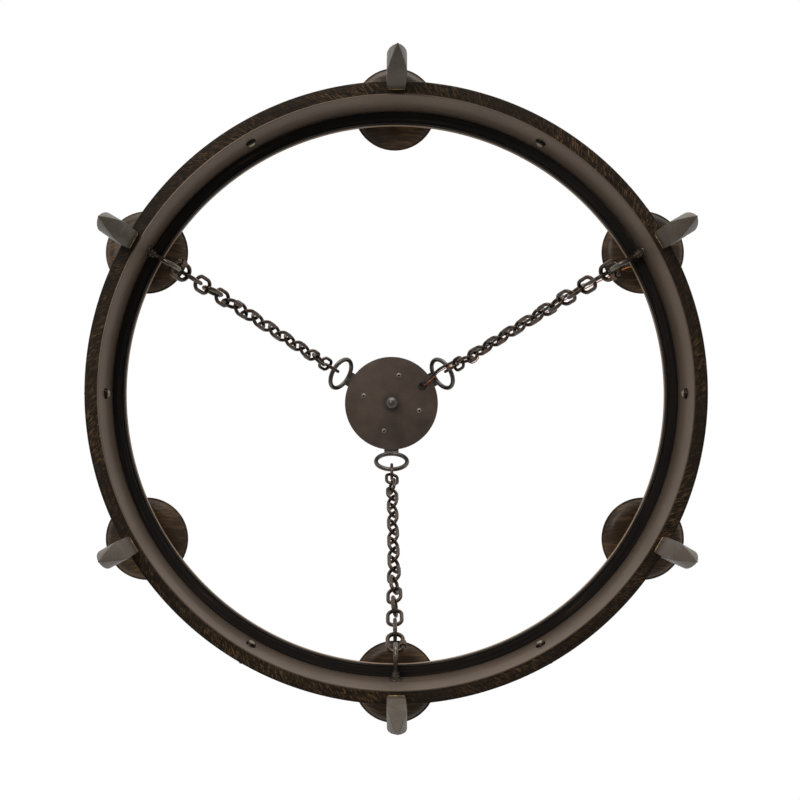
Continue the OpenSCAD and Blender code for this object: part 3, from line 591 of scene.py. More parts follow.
def brushed_band(name, tone, wear_and_highlight):
    """Satin metal band, brushed along its length and gently stained."""
    t = Tree(name)
    lines = t.noise(t.lengthwise(5.0, 500.0), 1.0, 5.0, 0.6)
    stain = t.noise(t.pos, 9.0, 4.0, 0.55)
    col = t.mix(t.rise(stain, 0.3, 0.7), tone, shade(tone, 1.3))
    col = t.mix(t.mul(t.rise(lines, 0.5, 0.75), 0.3), col, wear_and_highlight)
    col = t.mix(t.mul(t.edges(0.001), 0.12), col, wear_and_highlight)
    rough = t.add(0.36, t.mul(lines, 0.2))
    return t.done(col, rough, 0.55, t.bump(lines, 0.08, 0.0003))


def rim_band(name):
    """Nearly black band round the cap's bore, with a painted highlight in pale bronze along its upper rim."""
    t = Tree(name)
    fine = t.noise(t.pos, 380.0, 4.0, 0.6)
    cloud = t.noise(t.pos, 24.0, 4.0, 0.6)
    col = t.mix(t.rise(cloud, 0.3, 0.7), srgb(14, 11, 9), srgb(30, 25, 21))
    height = t.sub(t.split(t.pos)[2], (WHEEL_Z + HOOP_H) * MM)
    # painted highlight: the upper part of the band is coloured pale bronze
    rim = t.ramp(t.mul(height, 1 / (CAP_T * MM)), (0.54, 0.0), (0.66, 1.0))
    rub_and_highlight = t.mul(rim, t.ramp(fine, (0.34, 0.7), (0.6, 1.0)))
    col = t.mix(t.mul(rub_and_highlight, 0.95), col, srgb(158, 136, 116))
    rough = t.add(0.5, t.mul(fine, 0.15))
    return t.done(col, rough, 0.0, t.bump(fine, 0.08, 0.0003), Specular_IOR_Level=0.06)


def lacquered_dish(name):
    """Satin brown lacquer with fine golden brush streaks across the dish."""
    t = Tree(name)
    warp = t.noise(t.pos, 14.0, 3.0, 0.5, color=True)
    drift = (0.03, 0.03, 0.01)
    moved = t.fill("ShaderNodeVectorMath", warp, drift, t.pos, operation="MULTIPLY_ADD")
    streak = t.noise(t.scaled(moved, 22.0, 330.0, 60.0), 1.0, 6.0, 0.66)
    fine = t.noise(t.scaled(moved, 40.0, 900.0, 90.0), 1.0, 4.0, 0.6)
    patch = t.noise(t.pos, 17.0, 3.0, 0.55)
    base = t.mix(t.rise(patch, 0.35, 0.65), srgb(46, 35, 26), srgb(76, 58, 42))
    where = t.ramp(patch, (0.38, 0.3), (0.60, 1.0))
    gold = t.mul(t.rise(streak, 0.50, 0.68), where)
    col = t.mix(t.mul(gold, 0.55), base, srgb(150, 114, 68))
    col = t.mix(t.mul(t.rise(fine, 0.50, 0.72), 0.4), col, srgb(22, 16, 12))
    col = t.mix(t.mul(t.edges(0.001), 0.35), col, srgb(120, 94, 62))
    rough = t.add(0.42, t.mul(gold, 0.2))
    nrm = t.bump(streak, 0.14, 0.0005)
    return t.done(col, rough, 0.0, nrm, Specular_IOR_Level=0.22, Coat_Weight=0.1, Coat_Roughness=0.16)


def wax(name):
    """Ivory sleeve with faint runs of wax colour."""
    t = Tree(name)
    runs = t.noise(t.scaled(t.pos, 260.0, 260.0, 12.0), 1.0, 4.0, 0.6)
    broad = t.noise(t.pos, 30.0, 3.0, 0.5)
    col = t.mix(t.rise(broad, 0.3, 0.7), srgb(226, 214, 184), srgb(240, 231, 207))
    col = t.mix(t.mul(t.rise(runs, 0.5, 0.8), 0.35), col, srgb(205, 186, 146))
    rough = t.add(0.42, t.mul(runs, 0.15))
    nrm = t.bump(runs, 0.2, 0.0007)
    return t.done(col, rough, 0.0, nrm, Subsurface_Weight=0.12, Subsurface_Scale=0.004)


def cord_cover(name):
    """Black cord cover with a fine sheen and faint scuffs."""
    t = Tree(name)
    fine = t.noise(t.pos, 900.0, 2.0, 0.5)
    broad = t.noise(t.pos, 45.0, 3.0, 0.5)
    col = t.mix(t.rise(fine, 0.35, 0.7), srgb(12, 10, 9), srgb(28, 23, 20))
    scuff = t.mul(t.rise(broad, 0.55, 0.7), t.rise(fine, 0.5, 0.65, 0.5))
    col = t.mix(scuff, col, srgb(62, 52, 44))
    nrm = t.bump(fine, 0.15, 0.0003)
    return t.done(col, 0.38, 0.0, nrm, Coat_Weight=0.3, Coat_Roughness=0.25)


def plain(name, tone, rough, metallic, fine, broad, dark, wear, pale, swing, bump):
    """One tone with soft clouds and paler edges. fine, broad, wear and bump are argument lists."""
    t = Tree(name)
    dots = t.noise(t.pos, *fine)
    col = t.mix(t.rise(t.noise(t.pos, *broad), 0.3, 0.7), shade(tone, dark), tone)
    col = t.mix(t.mul(t.edges(wear[0]), wear[1]), col, shade(tone, pale))
    return t.done(col, t.vary(rough, dots, swing), metallic, t.bump(dots, *bump))


def plastic(name, tone, rough):
    noises = (260.0, 4.0, 0.6), (22.0, 3.0, 0.5)
    return plain(name, tone, rough, 0.0, *noises, 0.88, (0.0008, 0.3), 1.3, 0.15, (0.06, 0.0004))


def plated(name, tone, rough, metallic=1.0):
    noises = (300.0, 4.0, 0.6), (60.0, 4.0, 0.6)
    return plain(name, tone, rough, metallic, *noises, 0.72, (0.0006, 0.4), 1.25, 0.2, (0.05, 0.0003))


def glass(name):
    """Faintly warm clear glass with slight ripples."""
    t = Tree(name)
    ripple = t.noise(t.pos, 60.0, 2.0, 0.5)
    tint = t.mix(t.rise(ripple, 0.3, 0.7), (1.0, 0.985, 0.95), (0.97, 0.95, 0.90))
    rough = t.mul(ripple, 0.08)
    nrm = t.bump(ripple, 0.04, 0.0006)
    return t.done(tint, rough, 0.0, nrm, IOR=1.18, Transmission_Weight=1.0, Alpha=0.55)


def glow(name):
    t = Tree(name)
    fine = t.noise(t.pos, 500.0, 2.0, 0.5)
    col = t.mix(fine, srgb(255, 196, 120), srgb(255, 226, 170))
    nrm = t.bump(fine, 0.05, 0.0002)
    return t.done(col, 0.4, 0.0, nrm, Emission_Color=col, Emission_Strength=0.6)


M = {
    "wood": streaked_wood("hoop_wood_look"),
    "cap": black_wood("cap_wood_look"),
    "canopy": canopy_skin("canopy_bronze_look"),
    "hardware": bronze("hardware_bronze_look", srgb(106, 99, 92), srgb(184, 174, 160), 0.25, 0.85, 0.6, 0.25),
    "knob": bronze("knob_steel_look", srgb(98, 95, 92), srgb(160, 156, 150), 0.36, 0.8, 0.3, 0.15),
    "bolt": bolt_dome("bolt_bronze_look"),
    "ring": bronze("ring_bronze_look", srgb(90, 84, 79), srgb(156, 148, 138), 0.27, 0.85, 0.5, 0.25),
    "chain": bronze("chain_bronze_look", srgb(78, 66, 57), srgb(176, 138, 106), 0.26, 0.85, 0.6, 0.35),
    "screw": plated("screw_steel_look", srgb(150, 144, 137), 0.42, 0.6),
    "recess": plastic("recess_shade_look", srgb(8, 7, 6), 0.8),
    "arm": arm_iron("arm_bronze_look", srgb(86, 76, 66), srgb(126, 112, 92)),
    "liner": brushed_band("liner_bronze_look", srgb(97, 83, 71), srgb(140, 122, 103)),
    "edge": rim_band("edge_bronze_look"),
    "dish": lacquered_dish("dish_lacquer_look"),
    "candle": wax("candle_ivory_look"),
    "socket": plastic("socket_plastic_look", srgb(222, 214, 196), 0.5),
    "brass": plated("nipple_brass_look", srgb(196, 160, 92), 0.3),
    "cap_metal": plated("lamp_cap_look", srgb(188, 178, 160), 0.26),
    "zinc": plated("zinc_steel_look", srgb(168, 168, 165), 0.42),
    "cord": cord_cover("cord_black_look"),
    "copper": plated("ground_copper_look", srgb(214, 128, 72), 0.3),
    "bushing": plastic("bushing_look", srgb(30, 27, 25), 0.4),
    "connector": plastic("connector_look", srgb(176, 84, 34), 0.42),
    "glass": glass("lamp_glass_look"),
    "filament": glow("filament_look"),
}


# ---- pieces

def finished(bm, name, body, material, replaces=None, smooth=40.0):
    """Object that replaces the node of its own name without _look, unless replaces says otherwise."""
    replaces = [name.replace("_look", "")] if replaces is None else replaces
    obj = new_object(name, bm, smooth)
    obj.data.materials.append(M[material])
    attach(obj, body)
    if replaces:
        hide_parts(*replaces)
    return obj


def lathe_piece(name, outline, segs, places, body, material, replaces=None, closed=True):
    bm = bmesh.new()
    for place in places:
        add_lathe(bm, outline, segs, place, closed)
    return finished(bm, name, body, material, replaces)


def make_rim():
    """Hoop, liner, cap ring and the cap's edge band: rounded sections turned round the wheel."""
    bands = (
        ("hoop", (HOOP_IR, RIM_R, 0, HOOP_H), (0.4, 2.4, 0.8, 0.3), 4, "hoop_wood", "wood", "wood_hoop"),
        ("liner", (LINER_IR, HOOP_IR, 0, HOOP_H), (0.8, 0.2, 0.2, 0.2), 3, "liner_bronze", "liner",
         "hoop_liner"),
        ("cap", (EDGE_OR, RIM_R, HOOP_H, CAP_TOP), (0.3, 0.8, 2.6, 0.3), 4, "hoop_wood", "cap", "cap_ring"),
        ("cap_edge", (CAP_IR, EDGE_OR, HOOP_H, CAP_TOP), (0.7, 0.2, 0.2, 0.7), 3, "liner_bronze", "edge",
         "cap_edge_band"),
    )
    for name, sizes, radii, steps, slot, material, node in bands:
        outline = round_corners(section(*sizes), radii, steps)
        lathe_piece(f"{name}_look", outline, 360, [spot(0)], "wheel", material, [node])


def make_arm(index):
    """Square bar with softened edges: a long point below, a strap across the rim, a block on top."""
    place = spot(ARMS[index], RIM_R)
    rng = random.Random(40 + index)
    bevel, inner_bevel, fade, overlap = 0.9, 2.6, 22, 0.02
    bm = bmesh.new()
    levels = [(-SPIKE_STRAIGHT - SPIKE_POINT * i / 14, max(ARM_HALF * (1 - (i / 14) ** 1.5), 0.35))
              for i in range(14, -1, -1)]
    levels += [(-SPIKE_STRAIGHT * (1 - i / 12), ARM_HALF) for i in range(1, 12)] + [(-overlap, ARM_HALF)]
    rows = []
    for z, half in levels:
        wob = 0.12 if half > 3 else 0.0
        shape = square_ring(half, bevel, bevel + inner_bevel * max(0.0, 1 + z / fade) ** 2)
        rows.append((z, [(x + rng.uniform(-wob, wob), y + rng.uniform(-wob, wob)) for x, y in shape]))
    stack_rows(bm, place, rows)
    # strap outside the rim, hollowed to the hoop's curve
    strap = []
    for k in range(9):
        y = ARM_HALF * (k / 4 - 1)
        strap.append((sqrt(RIM_R ** 2 - y * y) - RIM_R + overlap, y))
    corner = [(ARM_HALF - bevel, ARM_HALF), (ARM_HALF - 0.26, ARM_HALF - 0.26), (ARM_HALF, ARM_HALF - bevel)]
    strap += corner + [(x, -y) for x, y in reversed(corner)]
    heights = [-overlap] + [CAP_TOP * k / 7 for k in range(1, 7)] + [CAP_TOP + overlap]
    stack_rows(bm, place, [(z, strap) for z in heights])
    block = ((CAP_TOP + 0.01, 0.0), (POST_TOP - 9, 0.0), (POST_TOP - 2, 0.0), (POST_TOP - 1.1, 0.5),
             (POST_TOP - 0.2, 1.6), (POST_TOP - 0.01, 2.2))
    stack_rows(bm, place, [(z, square_ring(ARM_HALF - inset, bevel)) for z, inset in block])
    finished(bm, f"arm_{index + 1}_look", "wheel", "arm", smooth=28.0)


def make_dish(index):
    """Shallow dish with a flat foot, a curved wall and a round lip."""
    lip = DISH_T / 2
    sweep = DISH_H - lip
    foot = DISH_R - lip - 2 * sweep
    big = 2 * sweep + lip
    hole = NIPPLE_R + 0.2
    outline = [(hole, 0.6), (hole + 0.6, 0.0), (16.0, 0.0), (16.6, 0.0), (30.0, 0.0)]
    outline += arc(foot, big, big, 270, 330, 10) + arc(DISH_R - lip, DISH_H, lip, 330, 510, 8)
    outline += arc(foot, big, big - DISH_T, 330, 270, 10) + [(26.0, DISH_T), (hole, DISH_T)]
    places = [spot(ARMS[index], RIM_R, 0, POST_TOP)]
    node = f"drip_dish_{index + 1}"
    lathe_piece(f"dish_{index + 1}_look", outline, 128, places, "wheel", "dish", [node])


def make_candle(index):
    """Plain sleeve with a softly melted, uneven top edge."""
    place = spot(ARMS[index], RIM_R, 0, CANDLE_Z)
    rng = random.Random(7 + index)
    segs, melt = 48, 6
    waves = [(rng.uniform(0, 6.28), rng.uniform(0.15, 0.5), k) for k in (1, 2, 3, 5)]
    inner = CANDLE_R - CANDLE_WALL
    outline = [
        (inner, 0.0), (CANDLE_R - 0.3, 0.0), (CANDLE_R, 0.3), (CANDLE_R, 12.0), (CANDLE_R, 40.0),
        (CANDLE_R, 70.0), (CANDLE_R, CANDLE_L - melt), (CANDLE_R, CANDLE_L - 1.2),
        (CANDLE_R - 0.35, CANDLE_L - 0.25), (inner + 0.4, CANDLE_L - 0.1), (inner, CANDLE_L - 0.6),
        (inner, CANDLE_L - 20),
    ]
    bm = bmesh.new()
    rings = []
    for i in range(segs):
        a = 2 * pi * i / segs
        dip = sum(w * (1 + sin(a * k + p)) for p, w, k in waves) * 0.5
        heights = [z - dip * max(0.0, (z - (CANDLE_L - melt)) / melt) for r, z in outline]
        rings.append([bm.verts.new(place @ ring_point(r, a, z)) for (r, _), z in zip(outline, heights)])
    skin(bm, rings, True)
    finished(bm, f"candle_{index + 1}_look", "wheel", "candle")


def make_lamp(index):
    """Flame-shaped glass with a loop filament, on a screw cap with a rolled thread."""
    body = f"lamp_{index + 1}"
    place = spot(ARMS[index], RIM_R, 0, CANDLE_Z + CANDLE_L)
    neck = LAMP_CAP_R + 1.5
    belly = BULB_H * 0.36
    side = [(neck + (BULB_R - neck) * sin(radians(90 * i / 12)), belly * i / 12) for i in range(12)]
    for i in range(25):
        t = i / 24
        r = BULB_R * max(0.0, cos(pi / 2 * t)) ** 1.1 + t * (1 - t) * 1.2
        side.append((r, belly + (BULB_H - belly) * t))
    side[-1] = (0.0, BULB_H)
    lift = 0.5
    shell = [(0.0, lift), (LAMP_CAP_R - 1.5, lift)] + [(r, z + lift) for r, z in side]
    lathe_piece(f"{body}_glass", shell, 64, [place], body, "glass", [body], False)
    r, low = LAMP_CAP_R, -LAMP_CAP_H
    cap = [(0.0, low), (2.6, low), (3.0, low + 0.8), (3.0, low + 1.6), (5.2, low + 2.8)]
    for turn in range(6):
        z = low + 5.0 + turn * 2.6
        cap += [(r - 0.75, z), (r - 0.15, z + 0.7), (r - 0.02, z + 1.3), (r - 0.15, z + 1.9)]
    cap += [(r - 0.8, -2.0), (r - 0.2, -0.8), (r - 0.1, 0.9), (r - 1.4, 1.6), (0.0, 1.6)]
    lathe_piece(f"{body}_cap", cap, 48, [place], body, "cap_metal", (), False)
    # two lead wires, the filament's coil in an arch between them, and the glass stem
    half, arch_z, coils = 5.2, 34, 9
    bm = bmesh.new()

    def wire(points, radius, sides):
        add_tube(bm, [place @ (Vector(p) * MM) for p in points], radius, sides)

    for s in (-1, 1):
        wire([(s * 1.4, 0, 1.0), (s * 1.6, 0, 14), (s * 4.0, 0, 26), (s * half, 0, arch_z)], 0.22 * MM, 8)
    loop = []
    for i in range(41):
        t = i / 40
        coil = 2 * coils * pi * t
        z = arch_z + 10 * sin(pi * t) + cos(coil) - 1.0
        loop.append((-half + 2 * half * t, sin(coil), z))
    wire(loop, 0.2 * MM, 6)
    wire([(0, 0, 1.0), (0, 0, 16), (0, 0, 22)], [1.8 * MM, 1.3 * MM, 0.5 * MM], 12)
    finished(bm, f"{body}_filament", body, "filament", ())


def make_sockets():
    """Stemmed cups that the lamps' caps screw into."""
    stem_r, cup_r, cup_bore = 7.0, 10.2, 7.1
    top = DISH_T + CANDLE_L
    cup_low, cup_floor = top - 36.0, top - LAMP_CAP_H
    outline = round_corners(
        [(NIPPLE_R, DISH_T), (stem_r, DISH_T), (stem_r, cup_low), (cup_r, cup_low), (cup_r, top),
         (cup_bore, top), (cup_bore, cup_floor), (NIPPLE_BORE, cup_floor), (NIPPLE_BORE, NIPPLE_TOP),
         (NIPPLE_R, NIPPLE_TOP)],
        [0.2, 0.4, 0.3, 1.0, 0.7, 0.3, 0.2, 0.2, 0.2, 0.2], 2)
    places = [spot(a, RIM_R, 0, POST_TOP) for a in ARMS]
    lathe_piece("sockets_look", outline, 40, places, "wheel", "socket", ["lamp_sockets"])


def make_nipples():
    """Threaded tubes that hold the sockets, dishes and candles on the posts."""
    root = NIPPLE_R - 0.28
    outline = [(NIPPLE_BORE, NIPPLE_Z)]
    for turn in range(20):
        z = NIPPLE_Z + turn
        outline += [(root, z + 0.1), (NIPPLE_R, z + 0.35), (NIPPLE_R, z + 0.55), (root, z + 0.8)]
    outline += [(NIPPLE_R - 0.3, NIPPLE_TOP), (NIPPLE_BORE, NIPPLE_TOP)]
    places = [spot(a, RIM_R, 0, POST_TOP) for a in ARMS]
    lathe_piece("nipples_look", outline, 32, places, "wheel", "brass")


def make_wall_bolts():
    """Domed bolts through the hoop, and a cap nut outside on each."""
    r = BOLT_HEAD_R
    outline = dome(r, BOLT_HEAD_H, 12)[:-1] + [(r - 0.15, -0.5), (r, -0.1), (r, 0.0), (M6_R, 0.0)]
    outline += [(M6_R, 19.0), (M6_R, BOLT_L - 0.5), (M6_R - 0.6, BOLT_L), (0.0, BOLT_L)]
    cap_r = 4.5
    cap = [(cap_r, NUT_H - 0.3)] + arc(0.0, NUT_H, cap_r, 0, 84, 14) + [(0.0, NUT_H + cap_r)]
    angles = range(0, 360, 60)
    places = [outward(a, liner_seat(2 * r), BOLT_Z) for a in angles]
    lathe_piece("wall_bolts_look", outline, 36, places, "wheel", "bolt", closed=False)
    nuts = bmesh.new()
    for a in angles:
        place = outward(a, RIM_R, BOLT_Z)
        add_nut(nuts, NUT_AF, NUT_H, M6_R, place, 0.7)
        add_lathe(nuts, cap, 32, place, closed=False)
    finished(nuts, "wall_nuts_look", "wheel", "hardware")


def make_arm_screws():
    """Hexagon wood screws through each arm's strap, a second one where no chain hangs."""
    bm = bmesh.new()
    places = [(a, ARM_SCREW_Z) for a in ARMS] + [(a, EYE_Z) for a in ARMS if a not in CHAINS]
    head_h, mark_r = 4.0, 1.62
    for a, z in places:
        place = outward(a, RIM_R + ARM_HALF, z)
        add_lathe(bm, [(0.0, 0.0), (5.0, 0.0), (5.0, 0.4), (0.0, 0.4)], 24, place, closed=False)
        add_nut(bm, NUT_AF, head_h, 1.6, place, 0.8)
        mark = [(0.0, head_h - 0.45), (mark_r, head_h - 0.25), (mark_r, head_h - 0.7)]
        add_lathe(bm, mark, 24, place, closed=False)
    finished(bm, "arm_screws_look", "wheel", "hardware")


def make_eye_bolts():
    """Eye bolts through the rim, each with a nut and a washer on both sides."""
    seat = liner_seat(2 * WASHER_R)
    collar = seat - WASHER_T - NUT_H
    outside = RIM_R + ARM_HALF
    shank = [(0.0, EYE_R + 14.0), (M6_R, EYE_R + 14.0), (M6_R, collar - 3.2), (3.6, collar - 3.0)]
    shank += [(4.8, collar - 3.0), (4.8, collar), (M6_R, collar), (M6_R, 418.0)]
    shank += thread_outline(M6_R, 418.5, EYE_END - 0.5, 1.0) + [(M6_R - 0.5, EYE_END), (0.0, EYE_END)]
    for index, a in enumerate(CHAINS):
        bm = bmesh.new()
        out = Vector((cos(radians(a)), sin(radians(a)), 0))
        centre = spot(a, EYE_R, 0, EYE_Z).translation
        eye = []
        for i in range(64):
            t = 2 * pi * i / 64
            eye.append(centre + (out * cos(t) + Vector((0, 0, 1)) * sin(t)) * EYE_LOOP_R * MM)
        add_tube(bm, eye, M6_R * MM, 20, closed=True)
        add_lathe(bm, shank, 28, outward(a, 0, EYE_Z), closed=False)
        finished(bm, f"eye_bolt_{index + 1}_look", "wheel", "hardware")
    washer = round_corners(section(M6_R, WASHER_R, 0.0, WASHER_T), [0.1, 0.4, 0.4, 0.1], 2)
    nuts = bmesh.new()
    for a in CHAINS:
        for r in (collar, outside + WASHER_T):
            add_nut(nuts, NUT_AF, NUT_H, M6_R, outward(a, r, EYE_Z), 0.7)
    finished(nuts, "eye_nuts_look", "wheel", "hardware")
    places = [outward(a, r, EYE_Z) for a in CHAINS for r in (seat - WASHER_T, outside)]
    lathe_piece("eye_washers_look", washer, 40, places, "wheel", "hardware")


def make_canopy():
    """Round cover of thin sheet with a slot in its wall for each tab."""
    inner, bore = CANOPY_R - CANOPY_T, 5.5
    floor_z, slot_top = -CANOPY_H + CANOPY_T, -CANOPY_H + CANOPY_T + 4.5
    lip = round_corners([(bore, -CANOPY_H), (CANOPY_R, -CANOPY_H), (CANOPY_R, floor_z)], [0, 1.3, 0], 4)
    outline = lip + [
        (CANOPY_R, slot_top), (CANOPY_R, -0.4), (CANOPY_R - 0.4, 0), (inner + 0.3, 0), (inner, -0.3),
        (inner, slot_top), (inner, floor_z), (bore, floor_z),
    ]
    low, high = len(lip) - 1, len(lip)
    in_high, in_low = len(outline) - 3, len(outline) - 2
    # the slots' edges fall on the outline's points low and high outside and in_low and in_high inside
    segs, half_slot = 192, 5
    open_segs = {(segs * a // 360 + k) % segs for a in CHAINS for k in range(-half_slot, half_slot)}
    bm = bmesh.new()
    rings = []
    for i in range(segs):
        rings.append([bm.verts.new(ring_point(r, 2 * pi * i / segs, z)) for r, z in outline])
    for i, ring in enumerate(rings):
        after = rings[(i + 1) % segs]
        is_open = i in open_segs
        for k in range(len(outline)):
            m = (k + 1) % len(outline)
            if not (is_open and k in (low, in_high)):
                bm.faces.new([ring[k], after[k], after[m], ring[m]])
        if is_open:
            bm.faces.new([ring[low], after[low], after[in_low], ring[in_low]])
            bm.faces.new([ring[high], after[high], after[in_high], ring[in_high]])
        if is_open != ((i - 1) % segs in open_segs):
            bm.faces.new([ring[low], ring[high], ring[in_high], ring[in_low]])
    finished(bm, "canopy_look", "ceiling", "canopy")


def make_screws():
    """Button-head screws with a hexagon recess."""
    rim, flat, sides = 2.4, 1.84, 36
    head = dome(SCREW_HEAD_R, SCREW_HEAD_R * 2 * 0.29, 8, rim)
    top = head[0][1]
    outline = head + [(SCREW_HEAD_R, 0.0), (2.5, 0.0), (2.5, 5.5), (0.0, 5.5)]
    angles = [2 * pi * i / sides for i in range(sides)]
    hexed = [hexagon(flat, t) for t in angles]
    recess = (([rim] * sides, top), (hexed, top - 0.02), (hexed, top + 1.5))
    bm = bmesh.new()
    for a in range(15, 360, 90):
        place = turn_z(a) @ move(SCREW_R, 0, -CANOPY_H)
        add_lathe(bm, outline, 36, place, closed=False)
        rings = []
        for radii, z in recess:
            rings.append([bm.verts.new(place @ ring_point(r, t, z)) for r, t in zip(radii, angles)])
        for i in range(sides):
            j = (i + 1) % sides
            for in_shade, (upper, lower) in enumerate(zip(rings, rings[1:])):
                bm.faces.new([upper[i], upper[j], lower[j], lower[i]]).material_index = in_shade
        bm.faces.new(rings[-1]).material_index = 1
    bmesh.ops.remove_doubles(bm, verts=bm.verts, dist=1e-6)
    obj = finished(bm, "canopy_screws_look", "ceiling", "screw")
    obj.data.materials.append(M["recess"])


def make_knob():
    """Ball knob with a neck and a stepped collar against the canopy."""
    ball_z = -KNOB_DROP - KNOB_R
    start = asin(KNOB_NECK_R / KNOB_R)
    side = [(0.0, ball_z - KNOB_R)]
    for i in range(1, 25):
        t = pi - (pi - start) * i / 24
        side.append((KNOB_R * sin(t), ball_z + KNOB_R * cos(t)))
    neck, low = KNOB_NECK_R, side[-1][1]
    side += [(neck - 0.6, low + 0.6), (neck - 0.6, low + 2.0), (neck, low + 2.6), (neck, -5.0)]
    side += [(neck + 0.8, -3.6), (neck + 2.2, -3.0), (9.6, -2.6), (10.0, -2.0), (10.0, -0.6), (9.6, -0.02)]
    bore = STUD_R + 0.1
    outline = [(r, z - CANOPY_H) for r, z in side + [(bore, -0.02)]] + [(bore, -STUD_L), (0.0, -STUD_L)]
    places = [Matrix.Identity(4)]
    lathe_piece("knob_look", outline, 64, places, "knob", "knob", ["canopy_knob"], False)


def make_stud():
    """Threaded centre stud with its two nuts."""
    bm = bmesh.new()
    for z in (-8.0, -14.5):
        add_nut(bm, 16.0, 5.0, STUD_R, move(0, 0, z), 1.0)
    finished(bm, "stud_nuts_look", "ceiling", "zinc")
    root = STUD_R - 0.4
    outline = [(0.0, -STUD_L), (root, -STUD_L)] + thread_outline(STUD_R, 0.5 - STUD_L, -0.8, 1.5, 0.4)
    outline += [(root, 0.0), (0.0, 0.0)]
    places = [Matrix.Identity(4)]
    lathe_piece("centre_stud_look", outline, 32, places, "ceiling", "zinc", closed=False)


def link_roll(i):
    """Quarter turns, and half a quarter more over the first four links and again over the last six."""
    share = min(i / 4, 1) / 2 + max(i + 1 - LINK_COUNT + 6, 0) / 6 / 2
    return 90 * i + 90 * share


def oval(length, width, wire, arc_steps=20, leg_steps=6):
    """Centre line of an oval link in its XZ plane, in mm, starting low on the +X leg."""
    r = (width - wire) / 2
    half = (length - width) / 2
    leg = [(r, -half + 2 * half * i / leg_steps) for i in range(leg_steps)]
    bend = arc(0, half, r, 0, 180, arc_steps)[:-1]
    return leg + bend + [(-x, -z) for x, z in leg + bend]


def sweep_plane(bm, place, points, radii, sides, closed):
    """Tube through points of the local XZ plane, all in mm."""
    path = [place @ Vector((x * MM, 0, z * MM)) for x, z in points]
    add_tube(bm, path, [r * MM for r in radii], sides, closed)


def make_links(k, base):
    """Welded links, each with a bead and a dip beside it where its wire meets."""
    rng = random.Random(100 + k)
    pts = oval(LINK_L, LINK_W, LINK_D)
    bm = bmesh.new()
    for i in range(LINK_COUNT):
        z = -FIRST_BEND - (LINK_L - LINK_D) / 2 - i * PITCH
        weld = 3 if rng.random() < 0.5 else 29
        swell = {weld: 1.07, weld - 1: 0.975, weld + 1: 0.975}
        radii = [LINK_D / 2 * swell.get(n, 1.0) for n in range(len(pts))]
        sweep_plane(bm, base @ move(0, 0, z) @ turn_z(link_roll(i)), pts, radii, 16, True)
    body = f"chain_{k + 1}"
    finished(bm, f"{body}_look", body, "chain", smooth=50.0)


def make_screw_link(k, base):
    """Rod bent to an oval, open on one leg, with a thread where the sleeve runs."""
    place = base @ move(0, 0, -QL_MID) @ turn_z(90 * SLEEVE_SIDE[k])
    r = (QL_W - QL_D) / 2
    half = (QL_L - QL_W) / 2
    full, pitch = QL_D / 2, 0.4
    gap_low, gap_high = -half + 1.0, -half + 7.0
    path, radii = [(r, gap_high)], [full - 0.25]
    z = gap_high + 0.35
    while z < half - 0.3:
        path.append((r, z))
        radii.append(full - (0.22 if len(path) % 2 else 0.0))
        z += pitch
    bend = arc(0, half, r, 0, 180, 16)
    smooth = bend + [(-r, half - 2 * half * i / 6) for i in range(1, 6)] + [(-x, -z) for x, z in bend]
    path += smooth + [(r, gap_low)]
    radii += [full] * len(smooth) + [full - 0.2]
    bm = bmesh.new()
    sweep_plane(bm, place, path, radii, 18, False)
    finished(bm, f"screw_link_{k + 1}_look", f"chain_{k + 1}", "chain", smooth=50.0)
    bm = bmesh.new()
    add_nut(bm, 9.0, 9.0, full + 0.05, place @ move(r, 0, -half), 0.7)
    finished(bm, f"link_sleeve_{k + 1}_look", f"sleeve_{k + 1}", "chain")


def make_chain_rings():
    bm = bmesh.new()
    r = RING_CL / 2
    for k in range(len(CHAINS)):
        place = on_chain(k) @ move(0, 0, -r)
        turns = [2 * pi * i / 96 for i in range(96)]
        path = [place @ Vector((0, r * sin(t) * MM, r * cos(t) * MM)) for t in turns]
        add_tube(bm, path, RING_ROD / 2 * MM, 22, closed=True)
    finished(bm, "chain_rings_look", "ceiling", "ring", smooth=50.0)


def make_welds():
    """Weld beads in the two corners between each tab and its ring."""
    bm = bmesh.new()
    r = RING_CL / 2
    for k, angle in enumerate(CHAINS):
        rng = random.Random(60 + k)
        for s in (-1, 1):
            path, radii = [], []
            for i in range(13):
                t = i / 12
                y = s * (1.0 + 12.0 * t)
                drop = r - sqrt(r ** 2 - y * y)
                out = HANG_R - 3.6 + drop * sin(TILT) * 0.5
                z = PLATE_Z - 1.6 - drop * 0.45
                path.append(turn_z(angle) @ Vector((out * MM, y * MM, z * MM)))
                taper = 0.8 if i == 12 else 0.0
                radii.append((1.2 + 0.9 * t + rng.uniform(-0.15, 0.15) - taper) * MM)
            add_tube(bm, path, radii, 10)
    finished(bm, "tab_welds", "ceiling", "ring", (), 60.0)


def chain_point(out, side, share):
    along = share * LINE_L
    return (
        HANG_R + along * sin(TILT) + out * cos(TILT), side,
        PLATE_Z - along * cos(TILT) + out * sin(TILT),
    )


